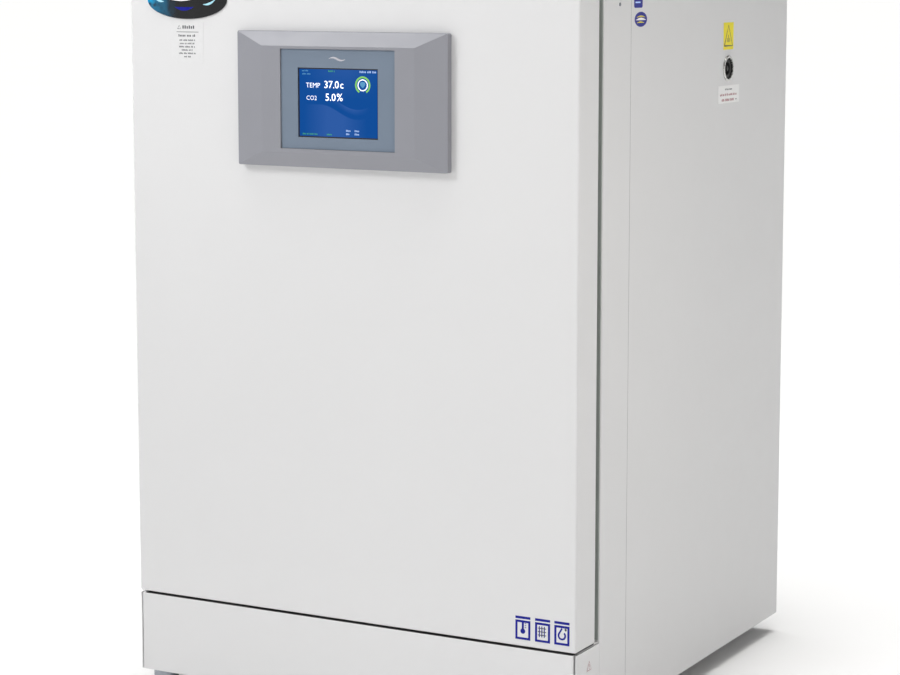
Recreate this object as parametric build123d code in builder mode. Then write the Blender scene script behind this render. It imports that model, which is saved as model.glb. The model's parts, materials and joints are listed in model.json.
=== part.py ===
"""Single-chamber direct-heat CO2 laboratory incubator, as an assembly of separate pieces.

Millimetres, +Z up. The origin is on the floor under the middle of the whole object, the door faces -Y
and +X is the hinge side. Depths are given as distances behind the door's front face, through depth().
"""
from build123d import *
from math import cos, radians, sin
import os

# Overall cabinet
WIDTH = 660.0
HALF = WIDTH / 2
CABINET_DEPTH = 693.0            # door front to rear panel
FRONT = -349.5                   # Y of the door's front face
FOOT_HEIGHT = 28.0
TOP = 1010.0
SHEET = 1.5                      # folded steel
SEAM = 0.8                       # gap between neighbouring panels

# Outer door
DOOR_T = 54.0
DOOR_BOTTOM = 138.0
DOOR_TOP = 1006.0
DOOR_SKIN = 1.2
DOOR_MID_Z = (DOOR_BOTTOM + DOOR_TOP) / 2
LINER_T = 2.0
RECESS_HALF = 290.0              # dished back of the door, which clears the glass door
RECESS_Z = (158.0, 986.0)
RECESS_FLOOR = 34.0
GASKET_HALF = (300.0, 316.0)
GASKET_Z = (141.0, 1003.0)
GASKET_W = 16.0
PIVOT_X = 316.0                  # outer door's pin
PIVOT_DEPTH = 40.0
PIN_R = 5.0

# Front frame and chamber
BREAK_FACE = 67.5                # face of the moulded thermal break
FRAME_FACE = 69.0
FRAME_BACK = 148.0
CHAMBER_HALF = 254.0
CHAMBER_Z = (208.0, 904.0)
CHAMBER_FRONT = 91.2
CHAMBER_BACK = 621.0
LINER_SHEET = 1.0
SHELF_LEVELS = (330.0, 460.0, 590.0, 720.0)
SHELF_HALF = 246.0
SHELF_DEPTH = (120.0, 588.0)

# Glass door
GLASS_X = (-271.0, 281.0)
GLASS_Z = (184.0, 928.0)
GLASS_DEPTH = (55.0, 61.0)
GLASS_PIVOT_X = 276.5
GLASS_PIVOT_DEPTH = 58.0
GLASS_PIN_R = 3.0
LATCH_X = -246.0
LATCH_Z = 556.0
SHAFT_R = 6.0

# Blower
BLOWER_DEPTH = 340.0
BLOWER_SHAFT_R = 4.0
DUCT_Z = 866.0

# Side port
PORT_DEPTH = 470.0
PORT_Z = 845.0
PORT_R = 14.6

# Control panel
PANEL_Z = 815.5                  # height of its middle
PANEL_W = 309.0
PANEL_H = 173.0
PANEL_EDGE = 10.0
PANEL_T = 19.0
OVERLAY = (168.0, 126.6)
OVERLAY_Z = PANEL_Z + 0.9
SCREEN = (118.0, 88.4)           # window in the overlay
SCREEN_Z = PANEL_Z - 3.4

# Rear fittings
REAR_ROW_Z = 92.0
FIT = 0.05                       # radial clearance of running fits

os.makedirs("parts", exist_ok=True)


def depth(distance):
    """Y of a plane that lies this far behind the door's front face."""
    return FRONT + distance


def facing(distance):
    """Sketch plane parallel to the door: local x is +X, local y is +Z, normal towards the front."""
    return Plane.XZ.offset(-depth(distance))


def rearward(x, distance, z):
    """Plane whose normal points to the rear, with its origin at a point."""
    return Plane(origin=(x, depth(distance), z), x_dir=(1, 0, 0), z_dir=(0, 1, 0))


def sideways(x, distance, z, tilt=0.0):
    """Plane whose normal points to +X; local x is +Y and local y is +Z, both turned by tilt degrees."""
    across = (0, cos(radians(tilt)), sin(radians(tilt)))
    return Plane(origin=(x, depth(distance), z), x_dir=across, z_dir=(1, 0, 0))


def upward(x, distance, z):
    """Plane whose normal points up, with its origin at a point."""
    return Plane(origin=(x, depth(distance), z))


def block(x, d, z, mode=Mode.ADD):
    """Add a box to the piece being built, given by its limits along X, depth and Z."""
    middle = ((x[0] + x[1]) / 2, depth((d[0] + d[1]) / 2), (z[0] + z[1]) / 2)
    with Locations(middle):
        Box(x[1] - x[0], d[1] - d[0], z[1] - z[0], mode=mode)


def rod(plane, radius, length, mode=Mode.ADD):
    """Add a cylinder that starts on the plane and runs along its normal."""
    with BuildSketch(plane) as outline:
        Circle(radius)
    extrude(outline.sketch, amount=length, mode=mode)


def keep(builder, name):
    """Name a finished piece and write it out."""
    builder.part.label = name
    export_step(builder.part, f"parts/{name}.step")


def mirrored(limits):
    """The same limits on the other side of the middle plane."""
    return (-limits[1], -limits[0])


# --- feet and base -----------------------------------------------------------------------------

FOOT_SPOTS = {"front": (309.0, 30.0), "rear": (272.0, 640.0)}    # half spacing and depth
FOOT_R = 17.5
STUD_R = 6.0


def foot(name, x, distance):
    """Levelling foot: a turned pad with a stud that screws up into its bush."""
    with BuildPart() as piece:
        rod(upward(x, distance, 0), FOOT_R, 10)
        rod(upward(x, distance, 10), FOOT_R - 2, 5)
        rod(upward(x, distance, 15), FOOT_R, 11.5)
        fillet(piece.faces().sort_by(Axis.Z)[0].edges(), 1.5)
        rod(upward(x, distance, 26.5), STUD_R - FIT, 40)
    keep(piece, name)


for end, (across, distance) in FOOT_SPOTS.items():
    foot(f"foot_{end}_left", -across, distance)
    foot(f"foot_{end}_right", across, distance)

with BuildPart() as base_pan:
    block((-327.8, 327.8), (16, 690), (FOOT_HEIGHT, FOOT_HEIGHT + SHEET))
    block((-327.8, 327.8), (688.5, 690), (FOOT_HEIGHT, 50))
    for across, distance in FOOT_SPOTS.values():
        for x in (-across, across):
            rod(upward(x, distance, FOOT_HEIGHT), 13, 20)
            rod(upward(x, distance, FOOT_HEIGHT), STUD_R, 20, Mode.SUBTRACT)
keep(base_pan, "base_pan")

BASE_TOP = 135.0
COVER_HALF = 326.2
with BuildPart() as base_cover:
    inside = (SHEET - COVER_HALF, COVER_HALF - SHEET)
    block((-COVER_HALF, COVER_HALF), (0, 62), (FOOT_HEIGHT, BASE_TOP))
    vertical = base_cover.edges().filter_by(Axis.Z).sort_by(Axis.Y)[:2]
    level = base_cover.faces().sort_by(Axis.Y)[0].edges().filter_by(Axis.X)
    fillet(vertical + level, 1.4)
    block(inside, (SHEET, 62), (FOOT_HEIGHT + SHEET, BASE_TOP - SHEET), Mode.SUBTRACT)
    block((-COVER_HALF, COVER_HALF), (15.5, 62), (FOOT_HEIGHT, BASE_TOP - SHEET), Mode.SUBTRACT)
    block((1 - COVER_HALF, -321.6), (1.6, 14), (BASE_TOP - 1, DOOR_BOTTOM - 0.8))
keep(base_cover, "base_cover")


with BuildPart() as base_cheeks:
    wall = (HALF - SHEET, HALF)
    flange = (HALF - 14, HALF - SHEET)
    for outer, inner in ((wall, flange), (mirrored(wall), mirrored(flange))):
        block(outer, (2, 68.6), (FOOT_HEIGHT, BASE_TOP))
        block(inner, (63, 68.6), (BASE_TOP - 40, BASE_TOP - 38.5))
        block(inner, (67.1, 68.6), (FOOT_HEIGHT + 2, BASE_TOP - 40))
keep(base_cheeks, "base_cheeks")

# --- cabinet shell -----------------------------------------------------------------------------

OPENING_HALF = CHAMBER_HALF + 4.6
OPENING_Z = (CHAMBER_Z[0] - 4.6, CHAMBER_Z[1] + 4.6)
MEMBER_GAP = 0.2

with BuildPart() as front_frame:
    for side in (-1, 1):
        face = (OPENING_HALF, HALF) if side > 0 else (-HALF, -OPENING_HALF)
        wall = (HALF - SHEET, HALF) if side > 0 else (-HALF, SHEET - HALF)
        lip = (HALF - 12, HALF) if side > 0 else (-HALF, 12 - HALF)
        block(face, (FRAME_FACE, FRAME_FACE + SHEET), (FOOT_HEIGHT + 2, TOP))
        block(wall, (FRAME_FACE, FRAME_BACK), (FOOT_HEIGHT, TOP))
        block(lip, (FRAME_BACK - SHEET, FRAME_BACK), (FOOT_HEIGHT + 2, TOP))
        block(face, (FRAME_FACE, FRAME_BACK), (TOP - SHEET, TOP))
    rail = (MEMBER_GAP - OPENING_HALF, OPENING_HALF - MEMBER_GAP)
    block(rail, (FRAME_FACE, FRAME_FACE + SHEET), (OPENING_Z[1], TOP))
    block(rail, (FRAME_FACE, FRAME_BACK), (TOP - SHEET, TOP))
    block(rail, (FRAME_FACE, FRAME_FACE + SHEET), (FOOT_HEIGHT + 2, OPENING_Z[0]))
    block(rail, (FRAME_FACE, 90), (FOOT_HEIGHT + 2, FOOT_HEIGHT + 3.5))
    corner = front_frame.faces().sort_by(Axis.Y)[0].edges().filter_by(Axis.Z)
    fillet(corner.sort_by(Axis.X)[0], 1.3)
    fillet(front_frame.edges().filter_by(Axis.Z).filter_by(lambda e: abs(e.center().X - HALF) < 0.01
           and abs(e.center().Y - depth(FRAME_FACE)) < 0.01), 1.3)
keep(front_frame, "front_frame")

PANEL_FRONT = FRAME_BACK + SEAM
SKIN = 1.2


def side_panel(name, side):
    """Large flat side panel with hems turned inward at the front and rear."""
    skin = (HALF - SKIN, HALF) if side > 0 else (-HALF, SKIN - HALF)
    hem = (HALF - 12, HALF) if side > 0 else (-HALF, 12 - HALF)
    with BuildPart() as piece:
        block(skin, (PANEL_FRONT, CABINET_DEPTH), (FOOT_HEIGHT, TOP))
        block(hem, (PANEL_FRONT, PANEL_FRONT + SKIN), (FOOT_HEIGHT + 4, TOP - 4))
        block(hem, (690.2, 691.4), (FOOT_HEIGHT + 26, TOP - 4))
        upright = piece.edges().filter_by(Axis.Z).filter_by(lambda e: abs(abs(e.center().X) - HALF) < 0.01)
        fillet(upright, 1.0)
        if side > 0:
            rod(sideways(HALF - 20, PORT_DEPTH, PORT_Z), 17, 30, Mode.SUBTRACT)
    keep(piece, name)


side_panel("left_side_panel", -1)
side_panel("right_side_panel", 1)

with BuildPart() as top_panel:
    block((-328.4, 328.4), (PANEL_FRONT, 691.4), (TOP - SKIN, TOP))
    block((-316, 316), (PANEL_FRONT, PANEL_FRONT + SKIN), (TOP - 14, TOP))
keep(top_panel, "top_panel")

INLET_X = -250.0
SWITCH_X = -205.0
FUSE_X = (-172.0, -148.0)
GAS_X = -40.0
REAR_SCREWS_Z = (70.0, 370.0, 680.0, 985.0)
REAR_SCREW_X = 322.0

with BuildPart() as rear_panel:
    block((-328.4, 328.4), (CABINET_DEPTH - SKIN, CABINET_DEPTH), (FOOT_HEIGHT + 2, TOP - 1.6))
    through = (690, 694)
    inlet_z = (REAR_ROW_Z - 10.6, REAR_ROW_Z + 10.6)
    switch_z = (REAR_ROW_Z - 15, REAR_ROW_Z + 15)
    block((INLET_X - 14.4, INLET_X + 14.4), through, inlet_z, Mode.SUBTRACT)
    block((SWITCH_X - 10.4, SWITCH_X + 10.4), through, switch_z, Mode.SUBTRACT)
    for x in FUSE_X:
        rod(rearward(x, 690, REAR_ROW_Z), 6.2, 4, Mode.SUBTRACT)
    rod(rearward(GAS_X, 690, REAR_ROW_Z), 5.3, 4, Mode.SUBTRACT)
    for x in (-REAR_SCREW_X, REAR_SCREW_X):
        for z in REAR_SCREWS_Z:
            rod(rearward(x, 690, z), 2.1, 4, Mode.SUBTRACT)
    for row in range(9):
        z = REAR_ROW_Z - 20 + 5 * row
        block((150, 260), through, (z, z + 2.5), Mode.SUBTRACT)
    for row in range(7):
        z = 950 + 6 * row
        block((-90, 90), through, (z, z + 2.5), Mode.SUBTRACT)
keep(rear_panel, "rear_panel")

# --- chamber -----------------------------------------------------------------------------------

with BuildPart() as thermal_break:
    face = (BREAK_FACE, FRAME_FACE)
    throat = (BREAK_FACE, CHAMBER_FRONT - 0.2)
    for side in (-1, 1):
        plate = (CHAMBER_HALF, 328) if side > 0 else (-328, -CHAMBER_HALF)
        wall = (CHAMBER_HALF, CHAMBER_HALF + 4) if side > 0 else (-CHAMBER_HALF - 4, -CHAMBER_HALF)
        block(plate, face, (139.5, 1008))
        block(wall, throat, CHAMBER_Z)
    lintel = (MEMBER_GAP - CHAMBER_HALF, CHAMBER_HALF - MEMBER_GAP)
    block(lintel, face, (CHAMBER_Z[1], 1008))
    block(lintel, throat, (CHAMBER_Z[1], CHAMBER_Z[1] + 4))
    block(lintel, face, (139.5, CHAMBER_Z[0]))
    block(lintel, throat, (CHAMBER_Z[0] - 4, CHAMBER_Z[0]))
keep(thermal_break, "thermal_break")

with BuildPart() as inner_gasket:
    ring = (61.3, BREAK_FACE)
    for side in (-1, 1):
        strip = (256, 268) if side > 0 else (-268, -256)
        block(strip, ring, (194, 918))
    block((-255.9, 255.9), ring, (194, 206))
    block((-255.9, 255.9), ring, (906, 918))
    fillet(inner_gasket.faces().sort_by(Axis.Y)[:4].edges(), 1.5)
keep(inner_gasket, "inner_gasket")

COVE_R = 12.0
with BuildPart() as chamber_liner:
    outside = CHAMBER_HALF + LINER_SHEET
    block((-outside, outside), (CHAMBER_FRONT, CHAMBER_BACK + LINER_SHEET),
          (CHAMBER_Z[0] - LINER_SHEET, CHAMBER_Z[1] + LINER_SHEET))
    fillet(chamber_liner.edges().filter_by(Axis.Y), COVE_R + LINER_SHEET)
    fillet(chamber_liner.faces().sort_by(Axis.Y)[-1].edges(), COVE_R + LINER_SHEET)
    mouth = chamber_liner.faces().sort_by(Axis.Y)[0]
    offset(amount=-LINER_SHEET, openings=mouth)
    rod(sideways(240, PORT_DEPTH, PORT_Z), PORT_R + 2.2, 30, Mode.SUBTRACT)
    rod(upward(0, BLOWER_DEPTH, 895), 12, 20, Mode.SUBTRACT)
keep(chamber_liner, "chamber_liner")

HEATER_GAP = 0.3
HEATER_T = 1.5
with BuildPart() as chamber_heaters:
    side_pad = (CHAMBER_HALF + LINER_SHEET + HEATER_GAP, CHAMBER_HALF + LINER_SHEET + HEATER_GAP + HEATER_T)
    block(side_pad, (120, 430), (240, 880))
    block(mirrored(side_pad), (120, 600), (240, 880))
    block((-225, 225), (CHAMBER_BACK + 1.3, CHAMBER_BACK + 2.8), (240, 880))
    floor_z = CHAMBER_Z[0] - LINER_SHEET - HEATER_GAP
    roof_z = CHAMBER_Z[1] + LINER_SHEET + HEATER_GAP
    block((-225, 225), (120, 600), (floor_z - HEATER_T, floor_z))
    block((-225, -60), (120, 600), (roof_z, roof_z + HEATER_T))
    block((60, 225), (120, 600), (roof_z, roof_z + HEATER_T))
keep(chamber_heaters, "chamber_heaters")

BATT_INNER = CHAMBER_HALF + 3.2
BATT_OUTER = 316.0
with BuildPart() as insulation:
    batt = (BATT_INNER, BATT_OUTER)
    block(batt, (92, 680), (166, 990))
    block(mirrored(batt), (92, 680), (166, 990))
    rod(sideways(BATT_INNER - 1, PORT_DEPTH, PORT_Z), 17, 70, Mode.SUBTRACT)
    inner = (0.4 - BATT_INNER, BATT_INNER - 0.4)
    block(inner, (92, 680), (166, CHAMBER_Z[0] - 3.2))
    block(inner, (CHAMBER_BACK + 3.2, 680), (CHAMBER_Z[0] - 2.8, CHAMBER_Z[1] + 2.8))
    block(inner, (92, 680), (CHAMBER_Z[1] + 3.2, 945))
    rod(upward(0, BLOWER_DEPTH, 900), 14, 50, Mode.SUBTRACT)
keep(insulation, "insulation")

UPRIGHT_DEPTHS = ((150.0, 172.0), (548.0, 570.0))
with BuildPart() as shelf_uprights:
    for spot in UPRIGHT_DEPTHS:
        strip = (251.0, CHAMBER_HALF - 0.1)
        for limits in (strip, mirrored(strip)):
            block(limits, spot, (232, 838))
            for step in range(15):
                z = 250 + 40 * step
                block(limits, (spot[0] + 9, spot[0] + 13), (z, z + 10), Mode.SUBTRACT)
keep(shelf_uprights, "shelf_uprights")

with BuildPart() as shelf_rails:
    for level in SHELF_LEVELS:
        web = (248.6, 250.8)
        ledge = (238.5, 250.8)
        for wall, seat in ((web, ledge), (mirrored(web), mirrored(ledge))):
            block(wall, (118, 594), (level - 12, level + 10))
            block(seat, (118, 594), (level - 1.7, level - 0.2))
keep(shelf_rails, "shelf_rails")

SHELF_T = 1.2
HOLES_ACROSS = 11
HOLES_DEEP = 10
HOLE_PITCH = 43.0
for number, level in enumerate(SHELF_LEVELS, start=1):
    with BuildPart() as shelf:
        block((-SHELF_HALF, SHELF_HALF), SHELF_DEPTH, (level, level + SHELF_T))
        for hem in ((SHELF_DEPTH[0], SHELF_DEPTH[0] + 9), (SHELF_DEPTH[1] - 9, SHELF_DEPTH[1])):
            block((-SHELF_HALF, SHELF_HALF), hem, (level, level + 2 * SHELF_T))
        middle = sum(SHELF_DEPTH) / 2
        with BuildSketch(upward(0, middle, level)):
            with GridLocations(HOLE_PITCH, HOLE_PITCH, HOLES_ACROSS, HOLES_DEEP):
                Circle(9)
        extrude(amount=SHELF_T, mode=Mode.SUBTRACT)
    keep(shelf, f"shelf_{number}")

with BuildPart() as humidity_pan:
    block((-215, 215), (150, 560), (209.2, 237))
    fillet(humidity_pan.edges().filter_by(Axis.Z), 14)
    fillet(humidity_pan.faces().sort_by(Axis.Z)[0].edges(), 6)
    offset(amount=-1.0, openings=humidity_pan.faces().sort_by(Axis.Z)[-1])
keep(humidity_pan, "humidity_pan")

with BuildPart() as air_ducts:
    block((-236, 236), (112, 596), (DUCT_Z, DUCT_Z + 1.2))
    block((-236, 236), (112, 113.2), (DUCT_Z, DUCT_Z + 26))
    block((-236, -234.8), (112, 596), (DUCT_Z, DUCT_Z + 26))
    block((234.8, 236), (112, 596), (DUCT_Z, DUCT_Z + 26))
    rod(upward(0, BLOWER_DEPTH, DUCT_Z - 1), 44, 4, Mode.SUBTRACT)
    with BuildSketch(upward(0, 540, DUCT_Z - 1)):
        with GridLocations(24, 1, 16, 1):
            SlotOverall(30, 3.4, rotation=90)
    extrude(amount=4, mode=Mode.SUBTRACT)
    block((-150, 150), (600, 601.2), (262, DUCT_Z - 1))
    block((-150, -148.8), (600, 619), (262, DUCT_Z - 1))
    block((148.8, 150), (600, 619), (262, DUCT_Z - 1))
    with BuildSketch(facing(602)):
        with Locations((0, 560)):
            with GridLocations(38, 60, 7, 9):
                SlotOverall(24, 3.4)
    extrude(amount=4, mode=Mode.SUBTRACT)
keep(air_ducts, "air_ducts")

# --- blower, filter and sensors ----------------------------------------------------------------

with BuildPart() as blower_housing:
    rod(upward(0, BLOWER_DEPTH, DUCT_Z + 1.4), 70, 32)
    rod(upward(0, BLOWER_DEPTH, DUCT_Z + 1.4), 68, 32, Mode.SUBTRACT)
    block((-45, 45), (BLOWER_DEPTH + 40, BLOWER_DEPTH + 80), (DUCT_Z, DUCT_Z + 40), Mode.SUBTRACT)
keep(blower_housing, "blower_housing")

WHEEL_R = 58.0
WHEEL_Z = (870.0, 896.0)
BLADES = 24
with BuildPart() as blower_wheel:
    rod(upward(0, BLOWER_DEPTH, WHEEL_Z[1] - 2), WHEEL_R, 2)
    rod(upward(0, BLOWER_DEPTH, WHEEL_Z[0]), 9, 26)
    with BuildSketch(upward(0, BLOWER_DEPTH, WHEEL_Z[0])):
        Circle(WHEEL_R)
        Circle(WHEEL_R - 14, mode=Mode.SUBTRACT)
    extrude(amount=2)
    with BuildSketch(upward(0, BLOWER_DEPTH, WHEEL_Z[0] + 1)):
        with PolarLocations(WHEEL_R - 7.5, BLADES):
            Rectangle(13, 1.4, rotation=28)
    extrude(amount=24)
    rod(upward(0, BLOWER_DEPTH, WHEEL_Z[0] - 1), BLOWER_SHAFT_R, 30, Mode.SUBTRACT)
keep(blower_wheel, "blower_wheel")

with BuildPart() as blower_shaft:
    rod(upward(0, BLOWER_DEPTH, WHEEL_Z[0]), BLOWER_SHAFT_R, 26)
    rod(upward(0, BLOWER_DEPTH, WHEEL_Z[1]), BLOWER_SHAFT_R - FIT, 94)
keep(blower_shaft, "blower_shaft")

with BuildPart() as blower_motor:
    rod(upward(0, BLOWER_DEPTH, 946), 42, 54)
    fillet(blower_motor.faces().sort_by(Axis.Z)[-1].edges(), 6)
    block((-52, 52), (BLOWER_DEPTH - 52, BLOWER_DEPTH + 52), (946, 949))
    rod(upward(0, BLOWER_DEPTH, 946), BLOWER_SHAFT_R, 46, Mode.SUBTRACT)
keep(blower_motor, "blower_motor")

with BuildPart() as hepa_filter:
    rod(upward(0, BLOWER_DEPTH, 828), 88, 34)
    rod(upward(0, BLOWER_DEPTH, 862), 94, 3.6)
    rod(upward(0, BLOWER_DEPTH, 832), 44, 40, Mode.SUBTRACT)
    with BuildSketch(upward(0, BLOWER_DEPTH, 830)):
        with PolarLocations(88, 40):
            Circle(2.2)
    extrude(amount=30, mode=Mode.SUBTRACT)
keep(hepa_filter, "hepa_filter")

with BuildPart() as chamber_sensors:
    rod(upward(160, 480, 806), 11, 44)
    fillet(chamber_sensors.faces().sort_by(Axis.Z)[0].edges(), 3)
    rod(upward(160, 480, 850), 15, 15.7)
    rod(upward(-160, 480, 796), 2.5, 60)
    rod(upward(-160, 480, 854), 7, 11.7)
keep(chamber_sensors, "chamber_sensors")

# --- base compartment --------------------------------------------------------------------------

with BuildPart() as control_electronics:
    block((-236, -86), (560, 660), (32, 82))
    fillet(control_electronics.edges().filter_by(Axis.Z), 2)
    for step in range(8):
        z = 38 + 5 * step
        block((-216, -106), (558, 562), (z, z + 2), Mode.SUBTRACT)
    block((80, 250), (500, 650), (42, 43.6))
    block((100, 140), (520, 560), (43.6, 58))
    block((160, 190), (520, 540), (43.6, 50))
    block((205, 240), (510, 640), (43.6, 55))
    block((95, 150), (600, 630), (43.6, 52))
    for x in (86, 244):
        for distance in (506, 644):
            rod(upward(x, distance, FOOT_HEIGHT + SHEET), 3, 12.5)
keep(control_electronics, "control_electronics")

with BuildPart() as gas_valve:
    block((GAS_X - 18, GAS_X + 18), (600, 640), (70, 108))
    block((GAS_X - 14, GAS_X + 14), (606, 634), (108, 140))
    block((GAS_X - 18, GAS_X + 18), (600, 640), (FOOT_HEIGHT + SHEET, 34))
    block((GAS_X - 3, GAS_X + 3), (604, 636), (34, 70))
keep(gas_valve, "gas_valve")

# --- rear fittings -----------------------------------------------------------------------------

with BuildPart() as gas_inlet:
    rod(rearward(GAS_X, 640, REAR_ROW_Z), 5, 54)
    with BuildSketch(rearward(GAS_X, CABINET_DEPTH, REAR_ROW_Z)):
        RegularPolygon(radius=9, side_count=6)
    extrude(amount=5)
    rod(rearward(GAS_X, CABINET_DEPTH + 5, REAR_ROW_Z), 3.2, 17)
    rod(rearward(GAS_X, 639, REAR_ROW_Z), 1.8, 90, Mode.SUBTRACT)
keep(gas_inlet, "gas_inlet")

with BuildPart() as power_entry:
    plate = (CABINET_DEPTH, CABINET_DEPTH + 2.5)
    block((INLET_X - 24, INLET_X + 24), plate, (REAR_ROW_Z - 14, REAR_ROW_Z + 14))
    fillet(power_entry.edges().filter_by(Axis.Y), 6)
    block((INLET_X - 14, INLET_X + 14), (676, CABINET_DEPTH), (REAR_ROW_Z - 10.2, REAR_ROW_Z + 10.2))
    block((INLET_X - 12, INLET_X + 12), (679, 697), (REAR_ROW_Z - 8.2, REAR_ROW_Z + 8.2), Mode.SUBTRACT)
    for x, z in ((-7, -2), (0, 2), (7, -2)):
        block((INLET_X + x - 1, INLET_X + x + 1), (678, 688), (REAR_ROW_Z + z - 2, REAR_ROW_Z + z + 2))
    block((SWITCH_X - 12.5, SWITCH_X + 12.5), (CABINET_DEPTH, CABINET_DEPTH + 2),
          (REAR_ROW_Z - 17, REAR_ROW_Z + 17))
    block((SWITCH_X - 10, SWITCH_X + 10), (672, CABINET_DEPTH), (REAR_ROW_Z - 14.5, REAR_ROW_Z + 14.5))
    block((SWITCH_X - 8.6, SWITCH_X + 8.6), (676, 696), (REAR_ROW_Z - 13, REAR_ROW_Z + 13), Mode.SUBTRACT)
    for x in FUSE_X:
        rod(rearward(x, 676, REAR_ROW_Z), 6, 17)
        rod(rearward(x, CABINET_DEPTH, REAR_ROW_Z), 8, 7)
        slot = (REAR_ROW_Z - 1, REAR_ROW_Z + 1)
        block((x - 5, x + 5), (CABINET_DEPTH + 5.6, CABINET_DEPTH + 8), slot, Mode.SUBTRACT)
keep(power_entry, "power_entry")

ROCKER_PIVOT = 689.0
ROCKER_TILT = 8.0
with BuildPart() as power_rocker:
    with BuildSketch(sideways(SWITCH_X - 8, ROCKER_PIVOT, REAR_ROW_Z, -ROCKER_TILT)):
        with BuildLine():
            Polyline((-7, -6), (6.2, -11.2), (7.0, 0), (6.2, 11.2), (-7, 6), close=True)
        make_face()
    extrude(amount=16)
keep(power_rocker, "power_rocker")

with BuildPart() as rear_spacers:
    for x in (-280, 280):
        rod(rearward(x, CABINET_DEPTH, 930), 11, 25)
    fillet(rear_spacers.faces().sort_by(Axis.Y)[-2:].edges(), 2)
keep(rear_spacers, "rear_spacers")

FRAME_SCREW = (114.0, 937.0)
with BuildPart() as cabinet_screws:
    for x in (-REAR_SCREW_X, REAR_SCREW_X):
        for z in REAR_SCREWS_Z:
            rod(rearward(x, CABINET_DEPTH - SKIN, z), 2, SKIN)
            rod(rearward(x, CABINET_DEPTH, z), 4, 2)
    rod(sideways(HALF, *FRAME_SCREW), 2.4, 1)
    rod(sideways(-HALF - 1, *FRAME_SCREW), 2.4, 1)
    for distance in (80, 118):
        for x in (302, 320):
            rod(upward(x, distance, TOP + 2.5), 4, 2)
keep(cabinet_screws, "cabinet_screws")

# --- side port ---------------------------------------------------------------------------------

with BuildPart() as port_sleeve:
    rod(sideways(CHAMBER_HALF - 0.5, PORT_DEPTH, PORT_Z), PORT_R + 1.9, HALF - CHAMBER_HALF + 0.3)
    rod(sideways(CHAMBER_HALF - 0.5, PORT_DEPTH, PORT_Z), PORT_R, 80, Mode.SUBTRACT)
keep(port_sleeve, "port_sleeve")

with BuildPart() as port_collar:
    rod(sideways(HALF, PORT_DEPTH, PORT_Z), 17.8, 1.8)
    fillet(port_collar.faces().sort_by(Axis.X)[-1].edges(), 0.9)
    rod(sideways(HALF, PORT_DEPTH, PORT_Z), PORT_R, 3, Mode.SUBTRACT)
keep(port_collar, "port_collar")

with BuildPart() as port_stopper:
    with BuildSketch(sideways(266, PORT_DEPTH, PORT_Z)):
        Circle(12.6)
    with BuildSketch(sideways(HALF - 1, PORT_DEPTH, PORT_Z)):
        Circle(PORT_R - 0.4)
    loft()
    rod(sideways(HALF - 5, PORT_DEPTH, PORT_Z), 9, 6, Mode.SUBTRACT)
    rod(sideways(HALF - 5.5, PORT_DEPTH, PORT_Z), 3.5, 5)
keep(port_stopper, "port_stopper")

LABEL_T = 0.25
with BuildPart() as side_labels:
    block((HALF, HALF + LABEL_T), (452, 488), (871, 908))
    block((HALF, HALF + LABEL_T), (436, 511), (798, 822))
    with BuildSketch(sideways(HALF, 177, 917.5)):
        Ellipse(19, 9.5)
    extrude(amount=LABEL_T)
    with BuildSketch(sideways(HALF, 169, 954)):
        RectangleRounded(26, 44, 3)
    extrude(amount=LABEL_T)
    with BuildSketch(sideways(HALF, 38.5, 110)):
        with Locations((0, 0)):
            RegularPolygon(radius=9, side_count=3, rotation=90)
    extrude(amount=LABEL_T)
keep(side_labels, "side_labels")

# --- outer door --------------------------------------------------------------------------------

CUP_Z = (500.0, 620.0)
CUP_DEPTH = (11.0, 43.0)
CUP_FLOOR = -308.0

with BuildPart() as door_skin:
    block((-HALF, HALF), (0, DOOR_T), (DOOR_BOTTOM, DOOR_TOP))
    fillet(door_skin.edges().filter_by(Axis.Y), 3)
    fillet(door_skin.faces().sort_by(Axis.Y)[0].edges(), 3)
    offset(amount=-DOOR_SKIN, openings=door_skin.faces().sort_by(Axis.Y)[-1])
    rod(upward(PIVOT_X, PIVOT_DEPTH, DOOR_BOTTOM - 1), 8.3, 4, Mode.SUBTRACT)
    rod(upward(PIVOT_X, PIVOT_DEPTH, DOOR_TOP - 3), 8.3, 4, Mode.SUBTRACT)
    block((-HALF - 1, -HALF + 3), (CUP_DEPTH[0] - 2.3, CUP_DEPTH[1] + 2.3),
          (CUP_Z[0] - 2.3, CUP_Z[1] + 2.3), Mode.SUBTRACT)
keep(door_skin, "door_skin")

with BuildPart() as door_liner:
    block((-328.2, 328.2), (DOOR_T - LINER_T, DOOR_T), (139.8, 1004.2))
    block((-RECESS_HALF - LINER_T, RECESS_HALF + LINER_T), (RECESS_FLOOR - LINER_T, DOOR_T),
          (RECESS_Z[0] - LINER_T, RECESS_Z[1] + LINER_T))
    with BuildSketch(facing(DOOR_T)):
        with Locations((0, sum(RECESS_Z) / 2)):
            RectangleRounded(2 * RECESS_HALF, RECESS_Z[1] - RECESS_Z[0], 10)
    extrude(amount=-(RECESS_FLOOR - DOOR_T), mode=Mode.SUBTRACT)
keep(door_liner, "door_liner")

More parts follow.
